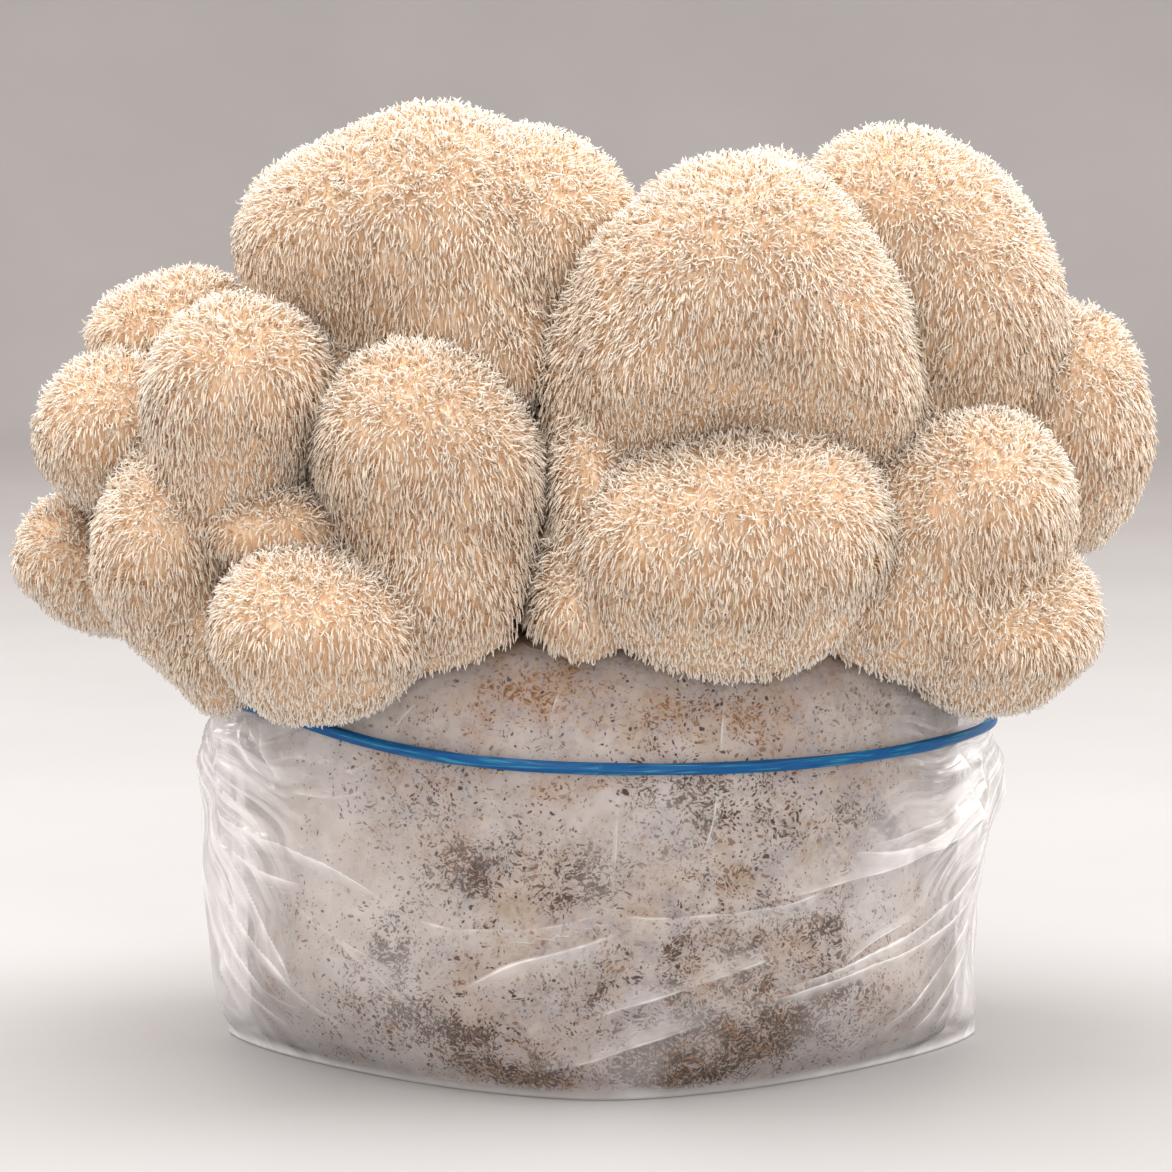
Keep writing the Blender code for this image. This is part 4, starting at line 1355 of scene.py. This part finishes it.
def spine_points(roots, normals, first, last, hook, length, radius, rings, turn):
    """Points of spines with one or two rings: the line starts inside the flesh, leaves it
    along the first direction, bends to the last and, with two rings, once more to the hook.
    The start and the tip are single points.
    """
    start = roots - normals * ROOT_DEPTH
    knee = roots + first * (KNEE * length)[:, None]
    low = ring_round(knee, unit(first + last), radius, turn)
    if rings == 1:
        tip = knee + last * ((1.0 - KNEE) * length)[:, None]
        return np.concatenate([start[:, None], low, tip[:, None]], axis=1)
    bend = knee + last * ((BEND - KNEE) * length)[:, None]
    high = ring_round(bend, unit(last + hook), BEND_THINNER * radius, turn)
    tip = bend + hook * ((1.0 - BEND) * length)[:, None]
    return np.concatenate([start[:, None], low, high, tip[:, None]], axis=1)


def build_spines(name, node, quads, masses, side, material, seed):
    """All spines of one body, joined into pieces of at most MOST_FACES triangles."""
    rng = np.random.default_rng(seed)
    roots, normals = spine_roots(quads, masses, side, rng)
    behind = behind_share(normals)
    roots = roots + normals * wave(roots)[:, None]
    first, last, hook, length, tone_and_shade = spine_lines(roots, normals, rng)
    radius = SPINE_RADIUS * (1.0 + (BACK_THICKENING - 1.0) * behind)
    radius = radius * rng.uniform(*RADIUS_RANGE, len(roots))
    turn = rng.uniform(0.0, 2.0 * math.pi, len(roots))
    hooked = behind < 0.5
    tips = roots + first * (KNEE * length)[:, None] + last * ((1.0 - KNEE) * length)[:, None]
    outside = reach(tips[:, 0], tips[:, 1], OVERHANG_MARGIN) > 1.0
    lowest = seat_height(tips[:, 0], tips[:, 1]) + TIP_CLEARANCE - OVERHANG * outside
    clear = tips[:, 2] > lowest
    piece = 0
    for rings, chosen, faces, along in ((1, ~hooked & clear, SHORT_FACES, SHORT_ALONG),
                                        (2, hooked & clear, LONG_FACES, LONG_ALONG)):
        picked = np.flatnonzero(chosen)
        most = MOST_FACES // len(faces)
        for begin in range(0, len(picked), most):
            some = picked[begin:begin + most]
            points = spine_points(roots[some], normals[some], first[some], last[some], hook[some],
                                  length[some], radius[some], rings, turn[some])
            corners = len(along) * np.arange(len(some))[:, None, None] + faces
            piece += 1
            mesh = make_mesh(f"{name}_{piece}", points.reshape(-1, 3), corners.reshape(-1, 3))
            set_values(mesh, "along", np.tile(along, len(some)))
            set_values(mesh, "tone_and_shade", np.repeat(tone_and_shade[some], len(along)))
            add_piece(f"{name}_{piece}", mesh, material, "spines", node)


def spine_material():
    """Cream spines: tan at the root, near white at the tip, partly their own colour and partly
    painted light: the white tips for light shining through them, the tan roots for warm shade
    between them. Each is mixed towards a darker, warmer colour by a number that is partly
    random and partly painted shade on the sides.
    """
    material, tree, shader = new_material("cream_spines")
    along = read_value(tree, "along")
    tone_and_shade = read_value(tree, "tone_and_shade")
    # Tan root to near-white tip: partly the spines' own colour, partly painted light at the tips and
    # painted warm shade at the roots.
    ramp = add(tree, "ValToRGB", Fac=along)
    elements = ramp.color_ramp.elements
    elements[0].position, elements[0].color = 0.25, (0.82, 0.57, 0.37, 1.0)
    elements[1].position, elements[1].color = 0.88, (0.99, 0.96, 0.90, 1.0)
    elements.new(0.5).color = (0.93, 0.80, 0.65, 1.0)
    # Mixed towards a darker, warmer colour: partly random, partly painted shade on the sides.
    darker = mix_colour(tree, 1.0, ramp.outputs["Color"], (0.84, 0.765, 0.69), "MULTIPLY")
    feed(shader.inputs["Base Color"], mix_colour(tree, tone_and_shade, ramp.outputs["Color"], darker))
    feed(shader.inputs["Roughness"], 0.55)
    return material


def main():
    make_camera()
    make_floor()
    make_light()
    build_block()
    build_film()
    build_band()
    flesh = flesh_material()
    spines = spine_material()
    for side, node, masses, seed in ((-1, "mushroom_left", LEFT_MASSES_MM, 101),
                                     (1, "mushroom_right", RIGHT_MASSES_MM, 102)):
        quads = build_flesh(node + "_flesh", node, masses, side, flesh)
        build_spines(node + "_spines", node, quads, masses, side, spines, seed)


main()
